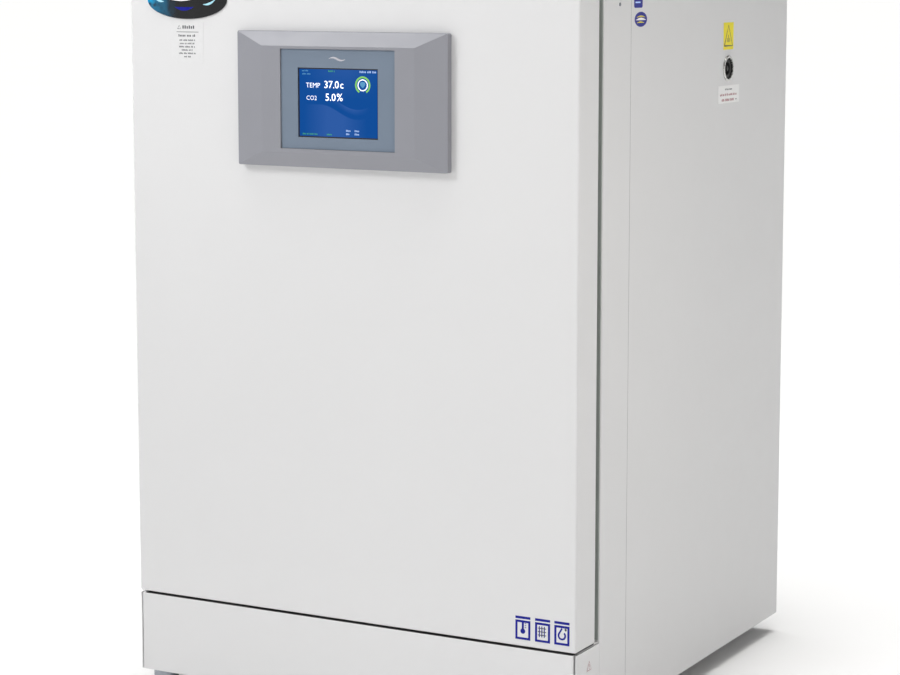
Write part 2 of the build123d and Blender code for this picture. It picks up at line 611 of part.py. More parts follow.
with BuildPart() as door_insulation:
    slab = (DOOR_SKIN + 0.3, RECESS_FLOOR - LINER_T - 0.3)
    rim = (RECESS_FLOOR - LINER_T, DOOR_T - LINER_T - 0.3)
    edge = HALF - 2.1
    tall = (DOOR_BOTTOM + 2.4, DOOR_TOP - 2.4)
    outer_left = (-edge, -304.2)
    rim_left = (-edge, -RECESS_HALF - 2.4)
    block((-304, edge), slab, tall)
    block(outer_left, slab, (tall[0], CUP_Z[0] - 4))
    block(outer_left, slab, (CUP_Z[1] + 4, tall[1]))
    block((RECESS_HALF + 2.4, edge), rim, (162, 982))
    block(rim_left, rim, (156.2, CUP_Z[0] - 4))
    block(rim_left, rim, (CUP_Z[1] + 4, 987.8))
    block((-edge, 300), rim, (tall[0], 155.6))
    block((-edge, 300), rim, (988.4, tall[1]))
keep(door_insulation, "door_insulation")

with BuildPart() as door_gasket:
    lip = (DOOR_T + 0.1, BREAK_FACE - 0.1)
    tall = (GASKET_Z[0], GASKET_Z[1])
    block(GASKET_HALF, lip, tall)
    block(mirrored(GASKET_HALF), lip, tall)
    wide = (0.1 - GASKET_HALF[0], GASKET_HALF[0] - 0.1)
    block(wide, lip, (GASKET_Z[0], GASKET_Z[0] + GASKET_W))
    block(wide, lip, (GASKET_Z[1] - GASKET_W, GASKET_Z[1]))
    fillet(door_gasket.faces().sort_by(Axis.Y)[-4:].edges(), 3)
keep(door_gasket, "door_gasket")

with BuildPart() as door_handle:
    block((-HALF - 1.2, -HALF), (CUP_DEPTH[0] - 5, CUP_DEPTH[1] + 5), (CUP_Z[0] - 5, CUP_Z[1] + 5))
    fillet(door_handle.edges().filter_by(Axis.X), 6)
    block((-HALF, CUP_FLOOR + 2), (CUP_DEPTH[0] - 2, CUP_DEPTH[1] + 2), (CUP_Z[0] - 2, CUP_Z[1] + 2))
    block((-HALF - 2, CUP_FLOOR), CUP_DEPTH, CUP_Z, Mode.SUBTRACT)
keep(door_handle, "door_handle")

with BuildPart() as door_bushes:
    for inner, outer in ((139.5, DOOR_BOTTOM - 0.2), (1004.5, DOOR_TOP + 0.2)):
        body = (inner, inner + 16) if inner < DOOR_MID_Z else (inner - 16, inner)
        collar = (outer, inner) if inner < DOOR_MID_Z else (inner, outer)
        block((302, 327.8), (32.2, 51.6), body)
        rod(upward(PIVOT_X, PIVOT_DEPTH, collar[0]), 8, collar[1] - collar[0])
        rod(upward(PIVOT_X, PIVOT_DEPTH, inner - 20), PIN_R + FIT, 40, Mode.SUBTRACT)
keep(door_bushes, "door_bushes")

with BuildPart() as outer_hinges:
    block((304, 328.2), (11, FRAME_FACE), (135.4, 137))
    block((304, 328.2), (FRAME_FACE - 2, FRAME_FACE), (100, 135.4))
    rod(upward(PIVOT_X, PIVOT_DEPTH, 135.4), PIN_R, 18)
    with BuildSketch(upward((292 + 328.2) / 2, 77, TOP)):
        RectangleRounded(36.2, 106, 8)
    extrude(amount=2.5)
    rod(upward(PIVOT_X, PIVOT_DEPTH, 992), PIN_R, TOP + 2.5 - 992)
keep(outer_hinges, "outer_hinges")

# --- control panel and door graphics -----------------------------------------------------------

with BuildPart() as display_bezel:
    with BuildSketch(facing(0)):
        with Locations((0, PANEL_Z)):
            RectangleRounded(PANEL_W, PANEL_H, 2.5)
    extrude(amount=PANEL_EDGE)
    with BuildSketch(facing(-PANEL_EDGE)):
        with Locations((0, PANEL_Z)):
            Rectangle(PANEL_W - 1, PANEL_H - 1)
    with BuildSketch(facing(-PANEL_T)):
        with Locations((0, PANEL_Z)):
            Rectangle(PANEL_W - 84, PANEL_H - 37)
    loft()
    with BuildSketch(facing(-PANEL_T)):
        with Locations((0, OVERLAY_Z)):
            Rectangle(OVERLAY[0] + 0.6, OVERLAY[1] + 0.6)
    extrude(amount=-3.5, mode=Mode.SUBTRACT)
    block((-76, 76), (-16, 0), (SCREEN_Z - 56, SCREEN_Z + 56), Mode.SUBTRACT)
    block((-150, 150), (-7, 0), (PANEL_Z - 82, PANEL_Z + 82), Mode.SUBTRACT)
keep(display_bezel, "display_bezel")

with BuildPart() as display_overlay:
    with BuildSketch(facing(-15.5)):
        with Locations((0, OVERLAY_Z)):
            RectangleRounded(*OVERLAY, 2)
        with Locations((0, SCREEN_Z)):
            Rectangle(*SCREEN, mode=Mode.SUBTRACT)
    extrude(amount=1.5)
keep(display_overlay, "display_overlay")

with BuildPart() as display_screen:
    block((-66, 66), (-15.2, -10), (SCREEN_Z - 52, SCREEN_Z + 52))
keep(display_screen, "display_screen")

with BuildPart() as display_board:
    block((-72, 72), (-8, -6.4), (SCREEN_Z - 50, SCREEN_Z + 50))
    block((-40, -10), (-6.4, -3), (SCREEN_Z - 20, SCREEN_Z + 10))
    block((20, 50), (-6.4, -2), (SCREEN_Z - 44, SCREEN_Z - 30))
keep(display_board, "display_board")

BADGE = (-239.0, 941.0, 62.5, 25.5)
with BuildPart() as door_badge:
    with BuildSketch(facing(0)):
        with Locations((BADGE[0], BADGE[1])):
            Ellipse(BADGE[2], BADGE[3])
    extrude(amount=2)
    fillet(door_badge.faces().sort_by(Axis.Y)[0].edges(), 0.8)
keep(door_badge, "door_badge")

with BuildPart() as door_labels:
    for x in (256.5, 284.0, 310.8):
        block((x - 10.5, x + 10.5), (-LABEL_T, 0), (147, 177))
    block((-265, -214), (-LABEL_T, 0), (858, 912))
keep(door_labels, "door_labels")

# --- glass door --------------------------------------------------------------------------------

with BuildPart() as glass_door:
    block(GLASS_X, GLASS_DEPTH, GLASS_Z)
    fillet(glass_door.edges().filter_by(Axis.Y), 4)
    chamfer(glass_door.faces().filter_by(Axis.Y).edges(), 0.6)
    rod(rearward(LATCH_X, 50, LATCH_Z), 8, 20, Mode.SUBTRACT)
keep(glass_door, "glass_door")

with BuildPart() as glass_fittings:
    x = (270, 283)
    for bridge, grip in (((928.3, 934.0), (900.0, 928.3)), ((178.0, 183.7), (183.7, 212.0))):
        block(x, (53, 63), bridge)
        block(x, (53, 54.9), grip)
        block(x, (61.1, 63), grip)
        rod(upward(GLASS_PIVOT_X, GLASS_PIVOT_DEPTH, bridge[0] - 1), GLASS_PIN_R + FIT, 8, Mode.SUBTRACT)
    rod(rearward(LATCH_X, 54, LATCH_Z), 8, 7.4)
    rod(rearward(LATCH_X, 53.6, LATCH_Z), 11, 1.3)
    rod(rearward(LATCH_X, 50, LATCH_Z), SHAFT_R, 14, Mode.SUBTRACT)
keep(glass_fittings, "glass_fittings")

with BuildPart() as glass_door_brackets:
    for body, pin in (((934.5, 948.0), (929.0, 6.0)), ((164.5, 177.5), (177.0, 6.2))):
        block((268, 283), (52, BREAK_FACE), body)
        rod(upward(GLASS_PIVOT_X, GLASS_PIVOT_DEPTH, pin[0]), GLASS_PIN_R, pin[1])
    tall = (LATCH_Z - 12, LATCH_Z + 12)
    block((-287, -275), (65.5, BREAK_FACE), tall)
    block((-287, -284.5), (47, BREAK_FACE), tall)
    block((-287, -274.5), (47, 49.5), tall)
keep(glass_door_brackets, "glass_door_brackets")

with BuildPart() as latch_lever:
    with BuildSketch(facing(53)):
        with Locations((LATCH_X, LATCH_Z + 14)):
            SlotOverall(40, 12, rotation=90)
    extrude(amount=2.5)
    rod(rearward(LATCH_X, 50.5, LATCH_Z), SHAFT_R - FIT, 12)
keep(latch_lever, "latch_lever")

with BuildPart() as latch_knob:
    rod(rearward(LATCH_X, 38, LATCH_Z), 15, 12.3)
    fillet(latch_knob.faces().sort_by(Axis.Y)[0].edges(), 2.5)
    with BuildSketch(facing(51)):
        with Locations((LATCH_X, LATCH_Z)):
            with PolarLocations(15.6, 16):
                Circle(1.5)
    extrude(amount=14, mode=Mode.SUBTRACT)
keep(latch_knob, "latch_knob")
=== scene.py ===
"""Looks of the laboratory incubator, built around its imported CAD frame.

Metres, in the frame's own axes: +Z up, the door faces -Y and +X is the hinge side.
"""

import json
from math import cos, pi, radians, sin
from random import Random

import bmesh
import bpy
from mathutils import Matrix, Vector


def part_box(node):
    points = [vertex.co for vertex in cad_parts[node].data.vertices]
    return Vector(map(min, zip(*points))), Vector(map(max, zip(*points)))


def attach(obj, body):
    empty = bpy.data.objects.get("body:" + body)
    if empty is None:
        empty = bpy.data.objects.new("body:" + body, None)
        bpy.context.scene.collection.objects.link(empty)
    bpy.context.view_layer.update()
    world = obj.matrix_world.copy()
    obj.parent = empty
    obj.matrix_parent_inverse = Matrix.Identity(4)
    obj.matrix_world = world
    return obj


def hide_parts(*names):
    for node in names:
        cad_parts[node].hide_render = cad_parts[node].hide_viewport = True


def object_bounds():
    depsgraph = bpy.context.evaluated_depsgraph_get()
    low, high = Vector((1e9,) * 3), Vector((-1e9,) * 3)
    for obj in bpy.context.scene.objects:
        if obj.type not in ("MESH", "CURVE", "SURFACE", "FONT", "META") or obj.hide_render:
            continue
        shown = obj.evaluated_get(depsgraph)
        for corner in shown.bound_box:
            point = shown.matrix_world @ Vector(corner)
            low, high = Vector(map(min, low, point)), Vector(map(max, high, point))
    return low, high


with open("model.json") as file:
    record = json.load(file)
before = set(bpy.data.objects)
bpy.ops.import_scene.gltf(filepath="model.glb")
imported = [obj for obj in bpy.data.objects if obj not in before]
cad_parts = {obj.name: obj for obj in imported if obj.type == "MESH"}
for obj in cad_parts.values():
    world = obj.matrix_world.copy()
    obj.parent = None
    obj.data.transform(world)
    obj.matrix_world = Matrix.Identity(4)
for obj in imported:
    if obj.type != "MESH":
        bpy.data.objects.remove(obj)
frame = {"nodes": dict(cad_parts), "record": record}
cad_low, cad_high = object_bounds()
MM = 0.001
scene = bpy.context.scene


def srgb(red, green, blue):
    """Linear colour of an 8-bit display colour."""
    out = []
    for value in (red, green, blue):
        v = value / 255
        out.append(v / 12.92 if v <= 0.04045 else ((v + 0.055) / 1.055) ** 2.4)
    return tuple(out)


# --- node materials ----------------------------------------------------------------------------


class Finish:
    """A Principled material and the helpers that wire procedural detail into it."""

    def __init__(self, name, color, roughness=0.5, metallic=0.0, **sockets):
        self.material = bpy.data.materials.new(name)
        self.material.use_nodes = True
        self.tree = self.material.node_tree
        self.shader = self.tree.nodes["Principled BSDF"]
        self.color = color
        self.shader.inputs["Base Color"].default_value = (*color, 1)
        self.shader.inputs["Roughness"].default_value = roughness
        self.shader.inputs["Metallic"].default_value = metallic
        for key, value in sockets.items():
            self.shader.inputs[key.replace("_", " ")].default_value = value
        self.place = self.add("ShaderNodeTexCoord").outputs["Object"]

    def add(self, kind, **settings):
        """A new node of this kind, with these properties set."""
        node = self.tree.nodes.new(kind)
        for key, value in settings.items():
            setattr(node, key, value)
        return node

    def feed(self, socket, value):
        """Wire an output into a socket, or set a plain number on it."""
        if isinstance(value, bpy.types.NodeSocket):
            self.tree.links.new(value, socket)
        elif value is not None:
            socket.default_value = value

    def calc(self, operation, a, b=None, c=None):
        """Output of a math node; each operand is an output, a number or nothing."""
        node = self.add("ShaderNodeMath", operation=operation)
        for socket, value in zip(node.inputs, (a, b, c)):
            self.feed(socket, value)
        return node.outputs[0]

    def share(self, first, part, second):
        """This part of the first value, and the rest of the second."""
        rest = self.calc("MULTIPLY", second, 1 - part)
        return self.calc("ADD", self.calc("MULTIPLY", first, part), rest)

    def stretched(self, scale):
        """The object's coordinates, scaled along each axis."""
        node = self.add("ShaderNodeMapping")
        self.feed(node.inputs["Vector"], self.place)
        node.inputs["Scale"].default_value = scale
        return node.outputs[0]

    def noise(self, scale, detail=2.0, stretch=None, distortion=0.0):
        """Soft cloudy noise from about 0.3 to 0.7."""
        node = self.add("ShaderNodeTexNoise")
        self.feed(node.inputs["Vector"], self.stretched(stretch) if stretch else self.place)
        node.inputs["Scale"].default_value = scale
        node.inputs["Detail"].default_value = detail
        node.inputs["Distortion"].default_value = distortion
        return node.outputs["Fac"]

    def cells(self, scale, feature="F1", output="Distance"):
        """Cellular pattern: distance to the nearest cell centre, or another output."""
        node = self.add("ShaderNodeTexVoronoi", feature=feature)
        self.feed(node.inputs["Vector"], self.place)
        node.inputs["Scale"].default_value = scale
        return node.outputs[output]

    def span(self, value, low, high, out_low=0.0, out_high=1.0):
        """A value mapped from low..high to out_low..out_high and held there outside."""
        node = self.add("ShaderNodeMapRange")
        for socket, v in zip(node.inputs, (value, low, high, out_low, out_high)):
            self.feed(socket, v)
        return node.outputs[0]

    def blend(self, amount, first, second):
        """A mix of two colours, each an output or a red, green and blue tuple."""
        node = self.add("ShaderNodeMix", data_type="RGBA")
        self.feed(node.inputs[0], amount)
        for socket, value in ((node.inputs[6], first), (node.inputs[7], second)):
            self.feed(socket, (*value, 1) if isinstance(value, tuple) else value)
        return node.outputs[2]

    def axis(self, name):
        """One of the object's own coordinates, in metres."""
        node = self.add("ShaderNodeSeparateXYZ")
        self.feed(node.inputs[0], self.place)
        return node.outputs[name]

    def vary(self, amount, low, high):
        """Base colour that drifts between a darker and a lighter tone of itself."""
        dark = tuple(c * low for c in self.color)
        light = tuple(min(1.0, c * high) for c in self.color)
        self.paint(self.blend(amount, dark, light))

    def paint(self, color):
        """Wire a colour output into the base colour."""
        self.feed(self.shader.inputs["Base Color"], color)

    def gloss(self, value):
        """Wire a value into the roughness."""
        self.feed(self.shader.inputs["Roughness"], value)

    def bumps(self, *layers):
        """Stack bump layers of (height, strength, distance in mm)."""
        normal = None
        for height, strength, distance in layers:
            node = self.add("ShaderNodeBump")
            node.inputs["Strength"].default_value = strength
            node.inputs["Distance"].default_value = distance * MM
            self.feed(node.inputs["Height"], height)
            if normal is not None:
                self.feed(node.inputs["Normal"], normal)
            normal = node.outputs[0]
        self.feed(self.shader.inputs["Normal"], normal)


def powder_coat(name, color, roughness=0.36):
    """Baked enamel: faint orange peel, a fine speckle and slow drift of tone and gloss."""
    look = Finish(name, color, Coat_Weight=0.12, Coat_Roughness=0.32, Specular_IOR_Level=0.42)
    cloud = look.noise(2.4, 3)
    speckle = look.noise(2600, 1)
    look.vary(look.share(cloud, 0.7, speckle), 0.975, 1.02)
    slow = look.span(look.noise(38, 3), 0.3, 0.7, roughness - 0.05, roughness + 0.05)
    look.gloss(look.calc("ADD", slow, look.span(speckle, 0.3, 0.7, -0.02, 0.02)))
    look.bumps((look.noise(420, 2), 0.16, 0.05), (look.noise(1700, 1), 0.10, 0.02))
    return look.material


def brushed(name, color, grain=(3, 260, 260), roughness=0.3):
    """Rolled, brushed or turned metal: noise stretched into a grain, with faint smears."""
    look = Finish(name, color, metallic=1.0, Anisotropic=0.35)
    grain_fine = look.noise(9, 4, stretch=grain)
    smear = look.noise(7, 3, distortion=0.6)
    look.vary(look.share(grain_fine, 0.6, smear), 0.86, 1.08)
    streaks = look.span(grain_fine, 0.3, 0.7, roughness - 0.06, roughness + 0.08)
    look.gloss(look.calc("ADD", streaks, look.span(smear, 0.35, 0.65, -0.03, 0.05)))
    look.bumps((grain_fine, 0.22, 0.05), (look.noise(60, 2), 0.05, 0.1))
    return look.material


def moulded(name, color, roughness, grain=1500, strength=0.25, **sockets):
    """Injection-moulded plastic: spark-eroded grain, slow tone drift and rubbed patches."""
    look = Finish(name, color, **sockets)
    pebble = look.cells(grain, "SMOOTH_F1")
    look.vary(look.noise(9, 3), 0.95, 1.04)
    rubbed = look.span(look.noise(24, 3), 0.3, 0.7, roughness - 0.06, roughness + 0.06)
    look.gloss(look.calc("ADD", rubbed, look.span(pebble, 0.0, 0.8, -0.03, 0.03)))
    look.bumps((pebble, strength, 0.06), (look.noise(90, 2), 0.04, 0.1))
    return look.material


def rubber(name, color, roughness=0.62):
    """Extruded or moulded elastomer with dusty bloom and fine drag lines."""
    look = Finish(name, color, Specular_IOR_Level=0.35, Sheen_Weight=0.15, Sheen_Roughness=0.5)
    dust = look.noise(55, 4)
    bloom = tuple(min(1.0, c * 1.5 + 0.02) for c in color)
    look.paint(look.blend(look.span(dust, 0.45, 0.75, 0.0, 0.35), color, bloom))
    look.gloss(look.span(dust, 0.3, 0.7, roughness - 0.06, roughness + 0.1))
    look.bumps((look.noise(900, 2, stretch=(1, 1, 0.15)), 0.2, 0.05), (look.noise(130, 2), 0.08, 0.1))
    return look.material


def wool(name, color):
    """Mineral wool: matted fibres in layers."""
    look = Finish(name, color, roughness=0.95, Sheen_Weight=0.3)
    fibres = look.noise(160, 5, stretch=(1, 1, 3.5), distortion=2.0)
    shaded = tuple(c * 0.62 for c in color)
    lit = tuple(min(1.0, c * 1.15) for c in color)
    look.paint(look.blend(look.span(fibres, 0.35, 0.65), shaded, lit))
    look.bumps((fibres, 0.8, 1.2), (look.noise(900, 3), 0.4, 0.3))
    return look.material


def circuit(name):
    """Solder mask with copper tracks under it and bright pads."""
    look = Finish(name, srgb(16, 84, 46), Coat_Weight=0.4, Coat_Roughness=0.2)
    tracks = look.add("ShaderNodeTexBrick")
    look.feed(tracks.inputs["Vector"], look.place)
    tracks.inputs["Scale"].default_value = 160
    tracks.inputs["Color1"].default_value = (*srgb(14, 76, 42), 1)
    tracks.inputs["Color2"].default_value = (*srgb(20, 98, 56), 1)
    tracks.inputs["Mortar"].default_value = (*srgb(52, 138, 82), 1)
    tracks.inputs["Mortar Size"].default_value = 0.06
    pads = look.span(look.cells(330), 0.14, 0.18, 1.0, 0.0)
    look.paint(look.blend(pads, tracks.outputs["Color"], srgb(196, 180, 120)))
    look.gloss(look.span(look.noise(60, 3), 0.3, 0.7, 0.3, 0.5))
    look.bumps((tracks.outputs["Fac"], 0.3, 0.05), (pads, 0.3, 0.08))
    return look.material


def galvanised(name, color):
    """Zinc-plated steel: soft crystalline spangle with turning marks."""
    look = Finish(name, color, metallic=1.0)
    spangle = look.cells(330, output="Color")
    lines = look.noise(14, 3, stretch=(4, 4, 220))
    look.vary(look.share(spangle, 0.5, lines), 0.8, 1.1)
    look.gloss(look.span(lines, 0.3, 0.7, 0.26, 0.42))
    look.bumps((lines, 0.25, 0.04), (spangle, 0.08, 0.03))
    return look.material


def film(name, color, **sockets):
    """Printed polyester film or ink: nearly smooth, with a trace of screen texture."""
    look = Finish(name, color, Coat_Weight=0.15, Coat_Roughness=0.2, **sockets)
    look.vary(look.noise(120, 3), 0.94, 1.05)
    look.gloss(look.span(look.noise(300, 2), 0.3, 0.7, 0.29, 0.42))
    look.bumps((look.cells(2400), 0.06, 0.02))
    return look.material


WHITE = srgb(219, 219, 220)
enamel = powder_coat("enamel_white", WHITE)
steel = brushed("stainless_sheet", srgb(196, 197, 196))
steel_upright = brushed("stainless_upright", srgb(190, 191, 190), grain=(260, 260, 3))
steel_turned = brushed("stainless_turned", srgb(202, 202, 200), grain=(40, 40, 40), roughness=0.24)
zinc = galvanised("zinc_plate", srgb(150, 155, 162))
brass = brushed("brass_turned", srgb(198, 164, 92), grain=(200, 6, 200), roughness=0.26)
breaker = moulded("breaker_grey", srgb(150, 156, 152), 0.5, grain=900)
liner_white = moulded("liner_white", srgb(226, 227, 226), 0.42, grain=1300, strength=0.12)
black = moulded("plastic_black", srgb(30, 31, 33), 0.45, grain=1400, strength=0.2)
wheel = moulded("blower_plastic", srgb(62, 66, 70), 0.4, grain=1100, strength=0.15)
sleeve = moulded("sleeve_black", srgb(20, 20, 21), 0.55)
sensor = moulded("sensor_cap", srgb(222, 222, 218), 0.5, grain=2200, strength=0.4)
bezel_grey = moulded("bezel_grey", srgb(141, 142, 149), 0.36, grain=2000, strength=0.16,
                     Specular_IOR_Level=0.4)
gasket_grey = rubber("gasket_grey", srgb(150, 157, 151))
spacer_black = rubber("spacer_rubber", srgb(46, 47, 48))
silicone = rubber("silicone_translucent", srgb(206, 207, 202), 0.48)
# Black silicone of the stoppers; it also colours the dark strips of painted shade.
black_stopper_and_painted_shade = rubber("black_stopper_and_painted_shade", srgb(16, 16, 17), 0.5)
batt = wool("mineral_wool", srgb(206, 190, 136))
pcb = circuit("circuit_board")
motor_paint = powder_coat("motor_paint", srgb(58, 60, 64), 0.42)


def heater_finish():
    """Silicone heater mat with the element's wavy lines showing through."""
    look = Finish("heater_mat", srgb(178, 84, 48), roughness=0.6)
    wave = look.add("ShaderNodeTexWave", wave_type="BANDS", bands_direction="Z", wave_profile="SIN")
    look.feed(wave.inputs["Vector"], look.place)
    wave.inputs["Scale"].default_value = 22
    wave.inputs["Distortion"].default_value = 1.5
    line = look.span(wave.outputs["Fac"], 0.86, 0.97)
    look.paint(look.blend(line, srgb(178, 84, 48), srgb(120, 52, 30)))
    look.bumps((line, 0.5, 0.4), (look.cells(700), 0.25, 0.1))
    return look.material


def filter_finish():
    """Fuzzy filter paper with slightly darker patches of dust."""
    look = Finish("filter_media", srgb(236, 236, 230), roughness=0.85)
    fuzz = look.noise(700, 4)
    look.vary(look.share(fuzz, 0.5, look.noise(26, 3)), 0.86, 1.02)
    look.bumps((fuzz, 0.5, 0.2))
    return look.material


def glass_finish():
    """Clear tempered glass with a green cast and a few faint smears."""
    look = Finish("tempered_glass", (0.93, 0.98, 0.96), IOR=1.5, Transmission_Weight=1.0)
    look.gloss(look.span(look.noise(9, 4, distortion=1.2), 0.5, 0.8, 0.0, 0.06))
    look.vary(look.noise(5, 2), 0.985, 1.0)
    return look.material


def overlay_finish():
    """Blue-grey membrane overlay with a fine velvet texture."""
    look = Finish("membrane_overlay", srgb(114, 127, 143), Specular_IOR_Level=0.3)
    velvet = look.cells(3200, "SMOOTH_F1")
    look.vary(look.noise(14, 2), 0.95, 1.05)
    look.gloss(look.span(velvet, 0.0, 0.8, 0.38, 0.5))
    look.bumps((velvet, 0.1, 0.03))
    return look.material


PICTURE_HALF_WIDTH = 59 * MM    # the swooshes are laid out across the picture from -1 to 1
PICTURE_HALF_HEIGHT = 45 * MM


def screen_finish():
    """Lit liquid-crystal panel: deep blue ground, soft lighter swooshes and a pixel grid."""
    low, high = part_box("display_screen")
    centre = (low + high) / 2
    look = Finish("lcd_ground", srgb(2, 6, 20), roughness=0.34, Specular_IOR_Level=0.06)
    across = look.calc("DIVIDE", look.calc("SUBTRACT", look.axis("X"), centre.x), PICTURE_HALF_WIDTH)
    up = look.calc("DIVIDE", look.calc("SUBTRACT", look.axis("Z"), centre.z), PICTURE_HALF_HEIGHT)

    def near(middle, full, none):
        """1 close to this place across the screen, falling to 0 away from it."""
        distance = look.calc("ABSOLUTE", look.calc("SUBTRACT", across, middle))
        return look.span(distance, full, none, 1.0, 0.0)

    bend = look.calc("MULTIPLY_ADD", look.calc("MAXIMUM", across, -0.46), 3.37, -0.03)
    above = look.calc("MULTIPLY_ADD", look.calc("SINE", bend), 0.2, look.calc("ADD", up, 0.245))
    low_wave = look.calc("MULTIPLY", look.span(above, -0.02, 0.02, 1.0, 0.0), near(-0.08, 0.2, 0.78))
    over_crest = look.calc("SUBTRACT", above, 0.27)
    rise = look.span(over_crest, -0.16, 0.0)
    drop = look.span(over_crest, 0.0, 0.02, 1.0, 0.0)
    high_wave = look.calc("MULTIPLY", look.calc("MULTIPLY", rise, drop), near(0.28, 0.1, 0.5))
    top_glow = look.calc("MULTIPLY", look.span(up, 0.1, 0.9, 0.0, 0.7), near(0.1, 0.2, 1.0))
    light = look.calc("ADD", look.calc("ADD", low_wave, high_wave), top_glow)
    tone = look.blend(look.calc("MINIMUM", light, 1.0), srgb(4, 80, 161), srgb(46, 96, 174))
    grid = look.cells(2600)
    tone = look.blend(look.span(grid, 0.0, 0.9, 0.0, 0.12), tone, srgb(4, 40, 100))
    look.feed(look.shader.inputs["Emission Color"], tone)
    look.shader.inputs["Emission Strength"].default_value = 0.9
    look.bumps((look.noise(60, 1), 0.02, 0.02))
    return look.material


def badge_finish():
    """Dark badge: near-black ground that turns bright blue towards one end."""
    low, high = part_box("door_badge")
    look = Finish("badge_ground", srgb(12, 13, 16), roughness=0.12, Coat_Weight=0.25,
                  Coat_Roughness=0.04, Specular_IOR_Level=0.25)
    along = look.span(look.axis("X"), low.x, high.x)
    cloud = look.noise(60, 4, distortion=0.8)
    fade = look.span(along, 0.42, 0.02)
    glow = look.calc("MULTIPLY", look.calc("MULTIPLY", fade, fade), look.span(cloud, 0.3, 0.6))
    look.paint(look.blend(glow, srgb(14, 15, 18), srgb(20, 160, 215)))
    look.gloss(look.span(cloud, 0.3, 0.7, 0.08, 0.16))
    look.bumps((look.noise(200, 1), 0.02, 0.02))
    return look.material


PAINT = {
    "white_enamel": enamel,
    "stainless_steel": steel,
    "turned_steel": steel_turned,
    "zinc": zinc,
    "brass_valve": brass,
    "motor_steel": motor_paint,
    "grey_breaker": breaker,
    "white_plastic": liner_white,
    "black_plastic": black,
    "wheel_plastic": wheel,
    "sleeve_plastic": sleeve,
    "sensor_white": sensor,
    "panel_grey": bezel_grey,
    "grey_rubber": gasket_grey,
    "silicone": silicone,
    "black_silicone": black_stopper_and_painted_shade,
    "mineral_wool": batt,
    "circuit_board": pcb,
    "heater_mat": heater_finish(),
    "filter_paper": filter_finish(),
    "clear_glass": glass_finish(),
    "overlay_film": overlay_finish(),
    "lcd": screen_finish(),
    "badge_film": badge_finish(),
    "label_film": film("label_clear", srgb(220, 220, 221)),
}
# Nodes whose finish differs from the rest of their slot.
SPECIAL = {"shelf_uprights": steel_upright, "port_collar": steel_turned, "rear_spacers": spacer_black}

slot_of = {part["node"]: part["material_slot"] for part in frame["record"]["subparts"]}
for name, obj in frame["nodes"].items():
    finish = SPECIAL.get(name, PAINT[slot_of[name]])
    if not obj.material_slots:
        obj.data.materials.append(None)
    for slot in obj.material_slots:
        slot.link = "OBJECT"
        slot.material = finish

# --- helpers for new pieces --------------------------------------------------------------------


def piece(name, mesh, body, slot, *materials):
    """Put a finished mesh into the scene as a piece that rides on a body."""
    for material in materials:
        mesh.materials.append(material)
    obj = bpy.data.objects.new(name, mesh)
    scene.collection.objects.link(obj)
    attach(obj, body)
    return obj


def islands(node):
    """Boxes of a CAD node's separate solids, as (low, high) corners.

    Vertices at one place count as one, and edges join them into groups.
    """
    mesh = frame["nodes"][node].data
    weld = {}
    ids = [weld.setdefault(tuple(round(c, 5) for c in v.co), len(weld)) for v in mesh.vertices]
    root = list(range(len(weld)))

    def top(i):
        """The vertex that stands for the whole group of vertex i."""
        while root[i] != i:
            root[i] = root[root[i]]
            i = root[i]
        return i

    for edge in mesh.edges:
        a, b = (top(ids[i]) for i in edge.vertices)
        root[a] = b
    groups = {}
    for vertex, i in zip(mesh.vertices, ids):
        groups.setdefault(top(i), []).append(vertex.co)
    return [(Vector(map(min, *g)), Vector(map(max, *g))) for g in groups.values()]


